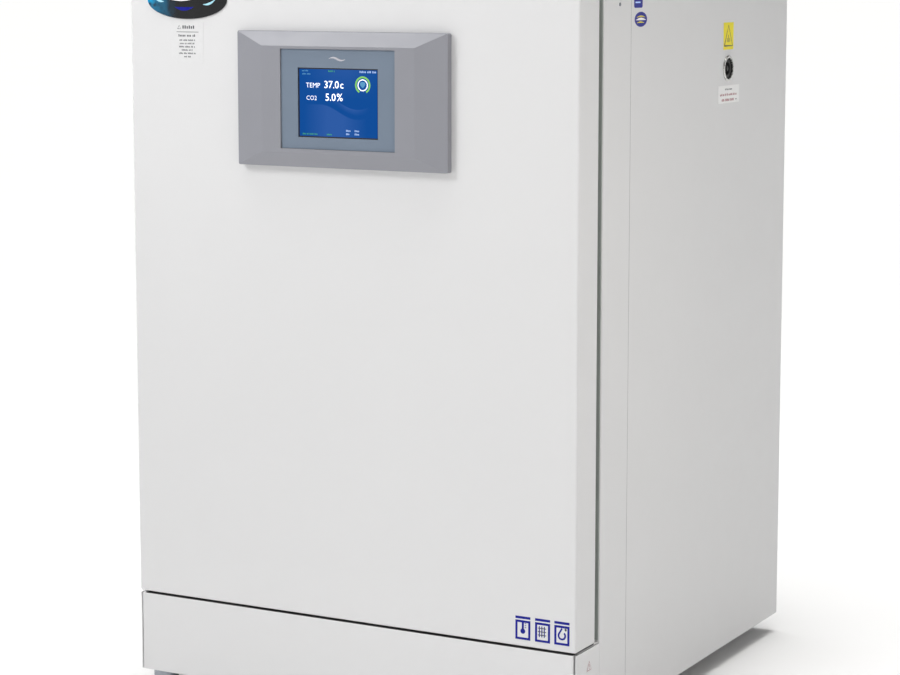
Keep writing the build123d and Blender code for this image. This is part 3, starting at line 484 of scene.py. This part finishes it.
class Print:
    """Flat printed shapes on an upright face, each a thin raised layer of ink.

    Places and sizes are millimetres across and up from the print's origin.
    """

    LAYER = 0.05 * MM
    LIFT = 0.01 * MM

    def __init__(self, origin, right):
        self.bm = bmesh.new()
        self.origin = Vector(origin)
        self.right = Vector(right)
        self.up = Vector((0, 0, 1))
        self.out = self.right.cross(self.up)
        self.inks = []

    def ink(self, material):
        """The material's index in this print."""
        if material not in self.inks:
            self.inks.append(material)
        return self.inks.index(material)

    def poly(self, points, material, layer=0):
        """A filled outline of (across, up) points."""
        low = self.origin + self.out * (self.LAYER * layer + self.LIFT)
        high = self.origin + self.out * (self.LAYER * (layer + 1))
        ends = []
        for base in (low, high):
            ends.append([self.bm.verts.new(base + self.right * (x * MM) + self.up * (z * MM))
                         for x, z in points])
        faces = [self.bm.faces.new(ends[1]), self.bm.faces.new(ends[0][::-1])]
        for i in range(len(points)):
            j = (i + 1) % len(points)
            faces.append(self.bm.faces.new((ends[0][i], ends[0][j], ends[1][j], ends[1][i])))
        for face in faces:
            face.material_index = self.ink(material)

    def bar(self, x0, x1, z0, z1, material, layer=0):
        """A filled rectangle."""
        self.poly([(x0, z0), (x1, z0), (x1, z1), (x0, z1)], material, layer)

    def disc(self, x, z, rx, rz, material, layer=0):
        """A filled ellipse."""
        steps = 40
        self.poly([(x + rx * cos(2 * pi * i / steps), z + rz * sin(2 * pi * i / steps))
                   for i in range(steps)], material, layer)

    def stroke(self, points, width, material, layer=0):
        """A line of even or tapering width through points; width is a number or one per point."""
        widths = width if isinstance(width, (list, tuple)) else [width] * len(points)
        left, right = [], []
        for i, (x, z) in enumerate(points):
            before, after = points[max(i - 1, 0)], points[min(i + 1, len(points) - 1)]
            tangent = Vector((after[0] - before[0], after[1] - before[1])).normalized()
            half = widths[i] / 2
            left.append((x - tangent.y * half, z + tangent.x * half))
            right.append((x + tangent.y * half, z - tangent.x * half))
        for i in range(len(points) - 1):
            self.poly([right[i], right[i + 1], left[i + 1], left[i]], material, layer)

    def frame(self, x0, x1, z0, z1, width, material):
        """A rectangle's border, inside these edges."""
        self.bar(x0, x1, z1 - width, z1, material)
        self.bar(x0, x1, z0, z0 + width, material)
        self.bar(x0, x0 + width, z0 + width, z1 - width, material)
        self.bar(x1 - width, x1, z0 + width, z1 - width, material)

    def ring(self, x, z, radius, width, material, layer=0, start=0, turn=360):
        """A circle or, with a smaller turn in degrees, an arc of one."""
        steps = 36
        points = [(x + radius * cos(radians(start + turn * i / steps)),
                   z + radius * sin(radians(start + turn * i / steps))) for i in range(steps + 1)]
        self.stroke(points, width, material, layer)

    def words(self, x0, x1, z, height, material, layer=0, *, seed):
        """A row of small even marks grouped like words; it spells nothing."""
        pick = Random(seed)
        pitch = 0.78 * height
        left = pick.randint(3, 6)
        x = x0
        while x + 0.5 * height <= x1:
            self.bar(x, x + 0.5 * height, z, z + height * pick.choice((0.8, 1.0)), material, layer)
            x += pitch
            left -= 1
            if left == 0:
                x += 0.6 * height
                left = pick.randint(2, 6)

    def done(self, name, body, slot):
        """Turn the print into a piece."""
        mesh = bpy.data.meshes.new(name)
        bmesh.ops.recalc_face_normals(self.bm, faces=self.bm.faces)
        self.bm.to_mesh(mesh)
        self.bm.free()
        piece(name, mesh, body, slot, *self.inks)


class LabelPrint(Print):
    """A print centred on a box's front or, when it's on the side, on its +X face."""

    def __init__(self, box, on_side=False):
        low, high = box
        middle = (low + high) / 2
        if on_side:
            super().__init__((high.x, middle.y, middle.z), (0, 1, 0))
            self.half_width = (high.y - low.y) / 2 / MM
        else:
            super().__init__((middle.x, low.y, middle.z), (1, 0, 0))
            self.half_width = (high.x - low.x) / 2 / MM
        self.half_height = (high.z - low.z) / 2 / MM


def soften(mesh):
    """Smooth shading with sharp edges kept sharp."""
    mesh.shade_smooth()
    mesh.set_sharp_from_angle(angle=radians(40))


# --- touch screen ------------------------------------------------------------------------------

ink_white = film("ink_screen_white", srgb(244, 246, 255), Emission_Color=(*srgb(236, 242, 255), 1),
                 Emission_Strength=0.85)
ink_green = film("ink_screen_green", srgb(30, 90, 60), Emission_Color=(*srgb(48, 158, 104), 1),
                 Emission_Strength=0.7)
ink_pale = film("ink_screen_pale", srgb(90, 110, 140), Emission_Color=(*srgb(170, 196, 238), 1),
                Emission_Strength=0.8)
ink_cyan = film("ink_screen_cyan", srgb(40, 90, 110), Emission_Color=(*srgb(74, 142, 196), 1),
                Emission_Strength=0.7)
ink_leaf = film("ink_screen_leaf", srgb(70, 110, 40), Emission_Color=(*srgb(120, 196, 92), 1),
                Emission_Strength=0.8)
ink_edge = film("ink_screen_edge", srgb(8, 14, 26))

screen_low, screen_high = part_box("display_screen")
screen = Vector(((screen_low.x + screen_high.x) / 2, screen_low.y,
                 (screen_low.z + screen_high.z) / 2))


READOUT_LIFT = 0.04 * MM        # characters' mid-plane, ahead of the screen


def readout(tag, text, size, x, z, weight):
    """Raised characters on the screen, facing -Y.

    Size is the em and x and z are the left end of the baseline, in millimetres from the screen's
    middle. Weight thickens the strokes by a share of the em.
    """
    name = "readout_" + tag
    curve = bpy.data.curves.new(name, "FONT")
    curve.body = text
    curve.size = size * MM
    curve.extrude = 0.02 * MM
    curve.offset = weight * size * MM
    curve.resolution_u = 3
    source = bpy.data.objects.new(name + ".font", curve)
    scene.collection.objects.link(source)
    bpy.context.view_layer.update()
    evaluated = source.evaluated_get(bpy.context.evaluated_depsgraph_get())
    mesh = bpy.data.meshes.new_from_object(evaluated)
    bpy.data.objects.remove(source)
    mesh.name = name
    mesh.materials.clear()
    place = screen + Vector((x, 0, z)) * MM - Vector((0, READOUT_LIFT, 0))
    mesh.transform(Matrix.Translation(place) @ Matrix.Rotation(pi / 2, 4, "X"))
    piece(name, mesh, "outer_door", "lcd", ink_white)


readout("temp_name", "TEMP", 8.8, -47.8, 19.1, -0.012)
readout("temp_value", "37.0", 13.0, -21.0, 19.0, 0.006)
readout("temp_unit", "c", 12.8, 2.6, 19.0, 0.006)
readout("gas_name", "CO2", 7.8, -47.4, 3.4, -0.014)
readout("gas_value", "5.0", 13.0, -19.3, 3.0, 0.006)
readout("gas_unit", "%", 13.6, -2.4, 3.0, 0.002)

# The picture's dark edge runs a millimetre under the overlay.
status = Print(screen, (1, 0, 0))
status.frame(-60, 60, -45.2, 45.2, 2.6, ink_edge)
status.words(-53.5, -44, 39.4, 1.8, ink_cyan, seed=2)
status.words(-53, -41, 35.4, 1.8, ink_cyan, seed=3)
status.words(-14.4, -5, 39.3, 2.2, ink_green, seed=4)
status.words(31.6, 55.4, 39.0, 2.5, ink_pale, seed=5)
status.words(-53, -29, -40.8, 2.0, ink_green, seed=6)
status.words(-17, -8.4, -40.8, 2.0, ink_green, seed=7)
for row, z in enumerate((-35.4, -39.6)):
    status.words(11.4, 18.5, z, 2.2, ink_pale, seed=8 + 2 * row)
    status.words(24, 31.5, z, 2.2, ink_pale, seed=9 + 2 * row)


def emblem(x, z):
    """An open ring, a thin ring inside it and a drop in the middle."""
    status.ring(x, z, 10.0, 2.4, ink_leaf, start=-60, turn=300)
    status.ring(x, z, 6.8, 1.1, ink_white)
    angles = [2 * pi * i / 28 for i in range(28)]
    drop = [(x + 3.6 * sin(a) * (1 - 0.45 * cos(a)), z + 0.4 - 3.8 * cos(a)) for a in angles]
    status.poly(drop, ink_cyan)


emblem(36, 23.6)
status.done("screen_status", "outer_door", "lcd")

silver = brushed("foil_silver", srgb(214, 212, 220), roughness=0.28)
mark = Print(Vector((screen.x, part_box("display_overlay")[0].y, screen.z)), (1, 0, 0))
wave = [(-12.5 + 24 * i / 20, 55.8 + 1.7 * sin(2 * pi * i / 20 * 0.95 + 0.1)) for i in range(21)]
mark.stroke(wave, [0.4 + 2.2 * sin(pi * i / 20) for i in range(21)], silver)
mark.done("overlay_wave", "outer_door", "overlay_film")

# --- door graphics -----------------------------------------------------------------------------

ink_blue = film("ink_blue", srgb(6, 18, 140), Specular_IOR_Level=0.2)
ink_grey = film("ink_grey", srgb(84, 86, 90), Specular_IOR_Level=0.2)
ink_black = film("ink_black", srgb(24, 24, 26))
ink_red = film("ink_red", srgb(150, 46, 62))
ink_yellow = film("ink_yellow", srgb(240, 224, 2), Specular_IOR_Level=0.2)
ink_label = film("ink_label_white", srgb(240, 240, 240))
# Pale ice blue: print on the badge's left end and a painted highlight at its right end.
ink_ice_and_highlight = film("ink_ice_and_highlight", srgb(168, 222, 240))

door_labels = sorted(islands("door_labels"), key=lambda box: box[0].x)
notice, icons = door_labels[0], door_labels[1:]

sheet = LabelPrint(notice)
sheet.stroke([(-15.4, 17.6), (-10.2, 17.6), (-12.8, 22.2), (-15.4, 17.6)], 0.7, ink_grey)
sheet.words(-7.6, 16, 17.8, 4.2, ink_grey, seed=12)
sheet.bar(-17, 17.5, 13.2, 13.9, ink_grey)
sheet.words(-14, 14, 7.4, 3.0, ink_grey, seed=13)
for row, half in enumerate((12.5, 12.0, 13.0, 9.0, 13.5, 5.5)):
    sheet.words(-half, half, 1.8 - 4.3 * row, 2.1, ink_grey, seed=14 + row)
sheet.done("notice_print", "outer_door", "label_film")


def pictogram_thermometer(tile):
    """A bulb with a stem and three marks."""
    tile.bar(-1.5, 1.5, -1.5, 7.0, ink_blue, 1)
    tile.disc(0, -4.0, 3.4, 3.4, ink_blue, 1)
    for z in (0.5, 3.0, 5.5):
        tile.bar(2.6, 4.8, z, z + 0.9, ink_blue, 1)


def pictogram_grid(tile):
    """Upright bars crossed by level ones."""
    for x in (-5, -1.6, 1.8):
        tile.bar(x, x + 1.4, -8.5, 5.5, ink_blue, 1)
    for z in (-6.5, -2.2, 2.2):
        tile.bar(-6.6, 5.0, z, z + 1.1, ink_grey, 1)


def pictogram_drop(tile):
    """An open drop with a small one beside it."""
    tile.ring(0, -2.8, 4.6, 2.4, ink_blue, 1, 130, 280)
    tile.stroke([(-3.2, 0.8), (-1.2, 4.0), (0, 6.6)], 2.2, ink_blue, 1)
    tile.disc(5.2, 5.2, 1.5, 1.9, ink_grey, 1)


PICTOGRAMS = (pictogram_thermometer, pictogram_grid, pictogram_drop)
for number, (box, pictogram) in enumerate(zip(icons, PICTOGRAMS), start=1):
    tile = LabelPrint(box)
    half_x, half_z = tile.half_width, tile.half_height
    tile.bar(-half_x, half_x, half_z - 3.3, half_z, ink_blue)
    tile.frame(-half_x, half_x, -half_z, half_z - 5.0, 3.0, ink_blue)
    pictogram(tile)
    tile.done(f"icon_print_{number}", "outer_door", "label_film")

badge = LabelPrint(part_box("door_badge"))


def ribbon(x, z, reach, width, lean, ink):
    """A tapering ribbon that sags in its middle, reaching this far to each side of x."""
    across = [reach * (i / 12 - 1) for i in range(25)]
    swell = [cos(pi * offset / 2 / reach) for offset in across]
    line = [(x + offset, z + lean * offset - 2.4 * c) for offset, c in zip(across, swell)]
    badge.stroke(line, [0.3 + width * c for c in swell], ink)


ribbon(-2, 3, 27, 4.6, 0.10, ink_label)
ribbon(-4, -10, 15, 4.4, 0.0, ink_blue)
# This pale ribbon towards the right end is a painted highlight on the glossy badge.
ribbon(36, -3, 10, 2.6, 0.35, ink_ice_and_highlight)
ribbon(-44, 1, 8, 3.0, -0.5, ink_ice_and_highlight)
badge.done("badge_print", "outer_door", "badge_film")

# --- side graphics -----------------------------------------------------------------------------

side_labels = sorted(islands("side_labels"), key=lambda box: box[0].z)
cheek_box, port_box, heat_box, oval_box, tall_box = side_labels

cheek = LabelPrint(cheek_box, on_side=True)
cheek.stroke([(-6.4, -4.2), (6.4, -4.2), (0, 7.4), (-6.4, -4.2)], 0.8, ink_red)
cheek.bar(-0.6, 0.6, -0.6, 3.6, ink_red)
cheek.bar(-0.6, 0.6, -2.6, -1.5, ink_red)
cheek.done("cheek_print", "cabinet", "label_film")

port = LabelPrint(port_box, on_side=True)
port.bar(-port.half_width, port.half_width, -port.half_height, port.half_height, ink_label)
port.words(-13, 12, 5.6, 2.4, ink_grey, 1, seed=31)
port.words(-31, 31, -2.0, 3.0, ink_red, 1, seed=32)
port.words(-25, 20, -9.4, 3.4, ink_red, 1, seed=33)
port.bar(24, 29, -8.4, -7.2, ink_grey, 1)
port.done("port_print", "cabinet", "label_film")

heat = LabelPrint(heat_box, on_side=True)
heat.bar(-heat.half_width, heat.half_width, -heat.half_height, heat.half_height, ink_yellow)
heat.stroke([(-14.6, -13.4), (14.6, -13.4), (0, 14.6), (-14.6, -13.4)], 2.2, ink_black, 1)
for x in (-4.4, 0, 4.4):
    heat.bar(x - 0.8, x + 0.8, -8.4, 1.6 - abs(x), ink_black, 1)
heat.done("heat_print", "cabinet", "label_film")

oval = LabelPrint(oval_box, on_side=True)
oval.disc(0, 0, oval.half_width, oval.half_height, ink_blue)


def arch(x, z, length, rise, thin, thick, ink):
    """A line on the oval from x to the right, arched by rise and thickest in its middle."""
    swell = [sin(pi * i / 16) for i in range(17)]
    line = [(x + length * i / 16, z + rise * c) for i, c in enumerate(swell)]
    oval.stroke(line, [thin + thick * c for c in swell], ink, 1)


arch(-13, 2.4, 26, 1.6, 0.3, 1.2, ink_yellow)
arch(-15, -0.8, 30, 1.3, 0.4, 2.8, ink_label)
arch(-12, -4.4, 22, 0.9, 0.3, 1.3, ink_yellow)
oval.done("oval_print", "cabinet", "label_film")

tall = LabelPrint(tall_box, on_side=True)
CORNER = 3.0
outline = []
for side, level, start in ((1, 1, 0), (-1, 1, 90), (-1, -1, 180), (1, -1, 270)):
    for step in range(7):
        a = radians(start + 15 * step)
        outline.append((side * (tall.half_width - CORNER) + CORNER * cos(a),
                        level * (tall.half_height - CORNER) + CORNER * sin(a)))
tall.poly(outline, ink_blue)
for row in range(6):
    z = tall.half_height - 7 - 6.2 * row
    tall.bar(-9, 9 - 3 * (row % 2), z, z + 1.8, ink_pale, 1)
tall.done("tall_print", "cabinet", "label_film")

# --- gaskets, screws and strips of painted shade -----------------------------------------------


def swept_ring(name, node, profile, corner, body, slot, material):
    """A profile of (inward, rearward) millimetres swept round the ring that a node fills.

    The ring is rectangular, with this outer corner radius in millimetres. The piece replaces the node.
    """
    low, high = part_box(node)
    bm = bmesh.new()
    rings = []
    middle = (low + high) / 2
    for sx, sz, start in ((1, 1, 0), (-1, 1, 90), (-1, -1, 180), (1, -1, 270)):
        centre_x = middle.x + sx * ((high.x - low.x) / 2 - corner * MM)
        centre_z = middle.z + sz * ((high.z - low.z) / 2 - corner * MM)
        for turn in range(0, 91, 15):
            a = radians(start + turn)
            rings.append([bm.verts.new((centre_x + cos(a) * (corner - u) * MM, low.y + v * MM,
                                        centre_z + sin(a) * (corner - u) * MM)) for u, v in profile])
    for ring, following in zip(rings, rings[1:] + rings[:1]):
        for i in range(len(profile)):
            j = (i + 1) % len(profile)
            bm.faces.new((ring[i], ring[j], following[j], following[i]))
    bmesh.ops.recalc_face_normals(bm, faces=bm.faces)
    mesh = bpy.data.meshes.new(name)
    bm.to_mesh(mesh)
    bm.free()
    soften(mesh)
    obj = piece(name, mesh, body, slot, material)
    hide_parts(node)


# Magnetic door gasket: a base strip against the door, pleated walls and a wide magnet head.
BELLOWS = [(2, 0), (14, 0), (14, 1.4), (12.4, 3.1), (14.8, 4.9), (12.6, 6.7), (15.6, 8.7),
           (15.9, 9.6), (15.9, 12.2), (14.8, 13.3), (1.2, 13.3), (0.1, 12.2), (0.1, 9.6),
           (0.4, 8.7), (3.4, 6.7), (1.2, 4.9), (3.6, 3.1), (2, 1.4)]
swept_ring("door_gasket_bellows", "door_gasket", BELLOWS, 18, "outer_door", "grey_rubber", gasket_grey)

# Chamber gasket: a flat foot with a round bulb towards the glass door.
BULB = [(0.4, 6.2), (0.4, 5.0), (1.8, 4.6), (1.8, 3.2), (2.8, 1.3), (4.4, 0.3), (6, 0),
        (7.6, 0.3), (9.2, 1.3), (10.2, 3.2), (10.2, 4.6), (11.6, 5.0), (11.6, 6.2)]
swept_ring("chamber_gasket_bulb", "inner_gasket", BULB, 15, "cabinet", "silicone", silicone)


def screw_head(radius, height):
    """Pan head with a cross recess, standing on z = 0: a dome of rings, open at the top."""
    bm = bmesh.new()
    steps = 24
    around = [2 * pi * i / steps for i in range(steps)]
    rings = []
    for r, z in ((1.0, 0.0), (1.0, 0.35), (0.94, 0.62), (0.82, 0.83), (0.62, 0.97)):
        rings.append([bm.verts.new((radius * r * cos(a), radius * r * sin(a), height * z))
                      for a in around])
    for lower, upper in zip(rings, rings[1:]):
        for i in range(steps):
            j = (i + 1) % steps
            bm.faces.new((lower[i], lower[j], upper[j], upper[i]))
    bm.faces.new(rings[0][::-1])

    # The recess fills the opening: its rim joins the last ring and its floor is smaller and lower.
    arm = radius * 0.5
    half = radius * 0.11
    quarter = [(arm, -half), (arm, half), (half, half)]
    cross = []
    for _ in range(4):
        cross += quarter
        quarter = [(-y, x) for x, y in quarter]
    corners = len(cross)
    rim = [bm.verts.new((x, y, height * 0.97)) for x, y in cross]
    floor = [bm.verts.new((x * 0.7, y * 0.7, height * 0.35)) for x, y in cross]
    rim_edges = [bm.edges.new((rim[i], rim[(i + 1) % corners])) for i in range(corners)]
    top_edges = [bm.edges.get((rings[-1][i], rings[-1][(i + 1) % steps])) for i in range(steps)]
    bmesh.ops.triangle_fill(bm, use_beauty=True, edges=rim_edges + top_edges)
    for i in range(corners):
        j = (i + 1) % corners
        bm.faces.new((rim[j], rim[i], floor[i], floor[j]))
    bm.faces.new(floor)
    bmesh.ops.recalc_face_normals(bm, faces=bm.faces)
    mesh = bpy.data.meshes.new("screw_head")
    bm.to_mesh(mesh)
    bm.free()
    soften(mesh)
    return mesh


SIDE_HEAD = 1.0 * MM            # height of the heads that face sideways
OTHER_HEAD = 2.0 * MM           # and of all the others


def cabinet_screw_heads():
    """One head for each screw of the frame, all in one piece, each turned a little further."""
    bm = bmesh.new()
    middle = (cad_low + cad_high) / 2
    for index, (low, high) in enumerate(islands("cabinet_screws")):
        size = high - low
        axis = min(range(3), key=lambda i: size[i])
        outward = Vector((0, 0, 0))
        outward[axis] = 1.0 if (low[axis] + high[axis]) / 2 > middle[axis] else -1.0
        height = SIDE_HEAD if axis == 0 else OTHER_HEAD
        top = (low + high) / 2
        top[axis] = high[axis] if outward[axis] > 0 else low[axis]
        mesh = screw_head(max(size) / 2, height)
        face = outward.to_track_quat("Z", "Y").to_matrix().to_4x4()
        turn = Matrix.Rotation(0.7 * index, 4, "Z")
        mesh.transform(Matrix.Translation(top - outward * height) @ face @ turn)
        bm.from_mesh(mesh)
        bpy.data.meshes.remove(mesh)
    mesh = bpy.data.meshes.new("screw_heads")
    bm.to_mesh(mesh)
    bm.free()
    obj = piece("screw_heads", mesh, "cabinet", "zinc", zinc)
    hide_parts("cabinet_screws")


cabinet_screw_heads()


def strip(name, start, end, body):
    """A dark solid strip between two outlines that match point by point, as painted shade."""
    bm = bmesh.new()
    ends = [[bm.verts.new(point) for point in outline] for outline in (start, end)]
    bm.faces.new(ends[0])
    bm.faces.new(ends[1][::-1])
    for i in range(len(start)):
        j = (i + 1) % len(start)
        bm.faces.new((ends[0][j], ends[0][i], ends[1][i], ends[1][j]))
    bmesh.ops.recalc_face_normals(bm, faces=bm.faces)
    mesh = bpy.data.meshes.new(name)
    bm.to_mesh(mesh)
    bm.free()
    piece(name, mesh, body, "black_silicone", black_stopper_and_painted_shade)


# Height and thickness of the black strip of painted shade in the gap under the door.
GAP_SHADE_TOP = 107.25 * MM          # above the cover's lower edge, just over its level top
GAP_SHADE_THICK = 0.24 * MM


def gap_shade_strip():
    """Black strip on top of the base cover, painted shade that darkens the gap under the door."""
    low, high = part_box("base_cover")
    left = low.x + 5.2 * MM
    right = high.x - 1.6 * MM
    front = low.y + 1.4 * MM
    rear = high.y - 1 * MM
    top = low.z + GAP_SHADE_TOP
    bottom = top - GAP_SHADE_THICK
    outline = [(left, front), (right, front), (right, rear), (left, rear)]
    strip("gap_shade_strip", [(x, y, bottom) for x, y in outline], [(x, y, top) for x, y in outline],
          "cabinet")


gap_shade_strip()

SEAM_INSET = 0.12 * MM          # from the side panel's face in to the strip of painted shade
SEAM_DEPTH = 5 * MM             # and in to the strip's far side
SEAM_FRONT = 0.77 * MM          # strip's front and rear, ahead of the panel's front edge
SEAM_REAR = 0.03 * MM
SEAM_SHORT = 3 * MM             # how far it stops from the panel's ends


def seam_shade_strip():
    """Dark strip down the seam between the front frame and each side panel, painted shade of the
    joint.
    """
    bm = bmesh.new()
    for node in ("left_side_panel", "right_side_panel"):
        low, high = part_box(node)
        outer, inward = (low.x, 1) if low.x < 0 else (high.x, -1)
        xs = sorted((outer + inward * SEAM_INSET, outer + inward * SEAM_DEPTH))
        ys = (low.y - SEAM_FRONT, low.y - SEAM_REAR)
        zs = (low.z + SEAM_SHORT, high.z - SEAM_SHORT)
        corners = [[[bm.verts.new((x, y, z)) for z in zs] for y in ys] for x in xs]
        around = ((0, 0), (0, 1), (1, 1), (1, 0))
        for i in (0, 1):
            bm.faces.new([corners[i][a][b] for a, b in around])
            bm.faces.new([corners[a][i][b] for a, b in around])
            bm.faces.new([corners[a][b][i] for a, b in around])
    bmesh.ops.recalc_face_normals(bm, faces=bm.faces)
    mesh = bpy.data.meshes.new("seam_shade_strip")
    bm.to_mesh(mesh)
    bm.free()
    piece("seam_shade_strip", mesh, "cabinet", "black_silicone", black_stopper_and_painted_shade)


seam_shade_strip()


def hinge_gap_shade():
    """Dark strip under the door's hinge side, painted shadow that makes the line above the hinge
    plate.
    """
    low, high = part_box("door_skin")
    front = low.y + 3 * MM
    rear = high.y - 1 * MM
    profile = [(-4, -0.85), (-0.6, -0.85), (-0.6, 1.15), (-1, 0.72), (-1.5, 0.36), (-2.3, 0.05),
               (-3, -0.02), (-4, -0.02)]
    section = [(high.x + x * MM, low.z + z * MM) for x, z in profile]
    strip("hinge_gap_shade", [(x, front, z) for x, z in section], [(x, rear, z) for x, z in section],
          "outer_door")


hinge_gap_shade()

# --- studio ------------------------------------------------------------------------------------


SKY_HORIZON = 0.14
SKY_ZENITH = 12.7
SKY_GATHER = 24.0               # power of height: how close to overhead the zenith light stays
SKY_FRONT = 0.37                # brighter towards -Y, in front of the door
SKY_LEAST = 0.02
FLOOR_REACH = 400.0


def sky():
    """Wrap-around light, with plain white where the camera sees past the floor."""
    world = bpy.data.worlds.new("studio")
    scene.world = world
    world.use_nodes = True
    tree = world.node_tree
    background = tree.nodes["Background"]
    where = tree.nodes.new("ShaderNodeTexCoord")
    split = tree.nodes.new("ShaderNodeSeparateXYZ")
    tree.links.new(where.outputs["Generated"], split.inputs[0])

    def step(operation, a, b, c=0.0):
        """Output of a math node; each operand is an output or a float."""
        node = tree.nodes.new("ShaderNodeMath")
        node.operation = operation
        for socket, value in zip(node.inputs, (a, b, c)):
            if isinstance(value, float):
                socket.default_value = value
            else:
                tree.links.new(value, socket)
        return node.outputs[0]

    height = step("POWER", step("MAXIMUM", split.outputs["Z"], 0.0), SKY_GATHER)
    level = step("MULTIPLY_ADD", height, SKY_ZENITH, SKY_HORIZON)
    level = step("MULTIPLY_ADD", split.outputs["Y"], -SKY_FRONT, level)
    tree.links.new(step("MAXIMUM", level, SKY_LEAST), background.inputs["Strength"])

    # Slightly cool on the -X side and warm on the +X side; inputs 6 and 7 are the two colours.
    tint = tree.nodes.new("ShaderNodeMix")
    tint.data_type = "RGBA"
    tree.links.new(step("MULTIPLY_ADD", split.outputs["X"], 0.5, 0.5), tint.inputs[0])
    tint.inputs[6].default_value = (0.985, 0.992, 1.0, 1)
    tint.inputs[7].default_value = (1.0, 0.985, 0.955, 1)
    tree.links.new(tint.outputs[2], background.inputs["Color"])

    paper_white = tree.nodes.new("ShaderNodeBackground")
    paper_white.inputs["Color"].default_value = (1, 1, 1, 1)
    seen = tree.nodes.new("ShaderNodeLightPath")
    either = tree.nodes.new("ShaderNodeMixShader")
    tree.links.new(seen.outputs["Is Camera Ray"], either.inputs[0])
    tree.links.new(background.outputs[0], either.inputs[1])
    tree.links.new(paper_white.outputs[0], either.inputs[2])
    tree.links.new(either.outputs[0], tree.nodes["World Output"].inputs["Surface"])


def pale_floor():
    """Wide matt paper under the feet."""
    floor_mesh = bpy.data.meshes.new("floor")
    square = [(x * FLOOR_REACH, y * FLOOR_REACH, 0) for x, y in ((-1, -1), (1, -1), (1, 1), (-1, 1))]
    floor_mesh.from_pydata(square, [], [(0, 1, 2, 3)])
    floor = bpy.data.objects.new("floor", floor_mesh)
    scene.collection.objects.link(floor)
    paper = Finish("floor_paper", (0.92, 0.92, 0.92), roughness=0.9, Specular_IOR_Level=0.1)
    paper.vary(paper.noise(1.5, 2), 0.99, 1.01)
    floor_mesh.materials.append(paper.material)


def soft_box(name, spot, aim, size, spread, power, color):
    """Square lamp at a spot, aimed at a point; metres, degrees and watts."""
    lamp = bpy.data.lights.new(name, "AREA")
    lamp.shape = "SQUARE"
    lamp.size = size
    lamp.spread = radians(spread)
    lamp.energy = power
    lamp.color = color
    light = bpy.data.objects.new(name, lamp)
    scene.collection.objects.link(light)
    light.location = spot
    light.rotation_euler = (Vector(spot) - Vector(aim)).to_track_quat("Z", "Y").to_euler()


sky()
pale_floor()
soft_box("key", (-1.1, -1.75, 2.1), (-0.1, -0.37, 1.0), 0.8, 70, 3.9, (1, 1, 1))
soft_box("fill", (1.15, -0.6, 0.95), (0.33, -0.4, 0.6), 0.45, 100, 0.54, (1, 0.95, 0.88))
scene.view_settings.view_transform = "Standard"

# --- camera ------------------------------------------------------------------------------------

CAMERA_PLACE = (1.5952, -2.9959, 0.9821)
CAMERA_TILT = 7.32              # degrees below level
CAMERA_TURN = 28.598            # degrees to the left of +Y
CAMERA_LENS = 97.256
CAMERA_SENSOR = 36
CAMERA_SHIFT = -0.0639          # moves the frame down, as a share of its width

camera = bpy.data.objects.new("camera", bpy.data.cameras.new("camera"))
scene.collection.objects.link(camera)
camera.location = CAMERA_PLACE
camera.rotation_euler = (radians(90 - CAMERA_TILT), 0, radians(CAMERA_TURN))
camera.data.lens = CAMERA_LENS
camera.data.sensor_width = CAMERA_SENSOR
camera.data.shift_y = CAMERA_SHIFT
scene.camera = camera
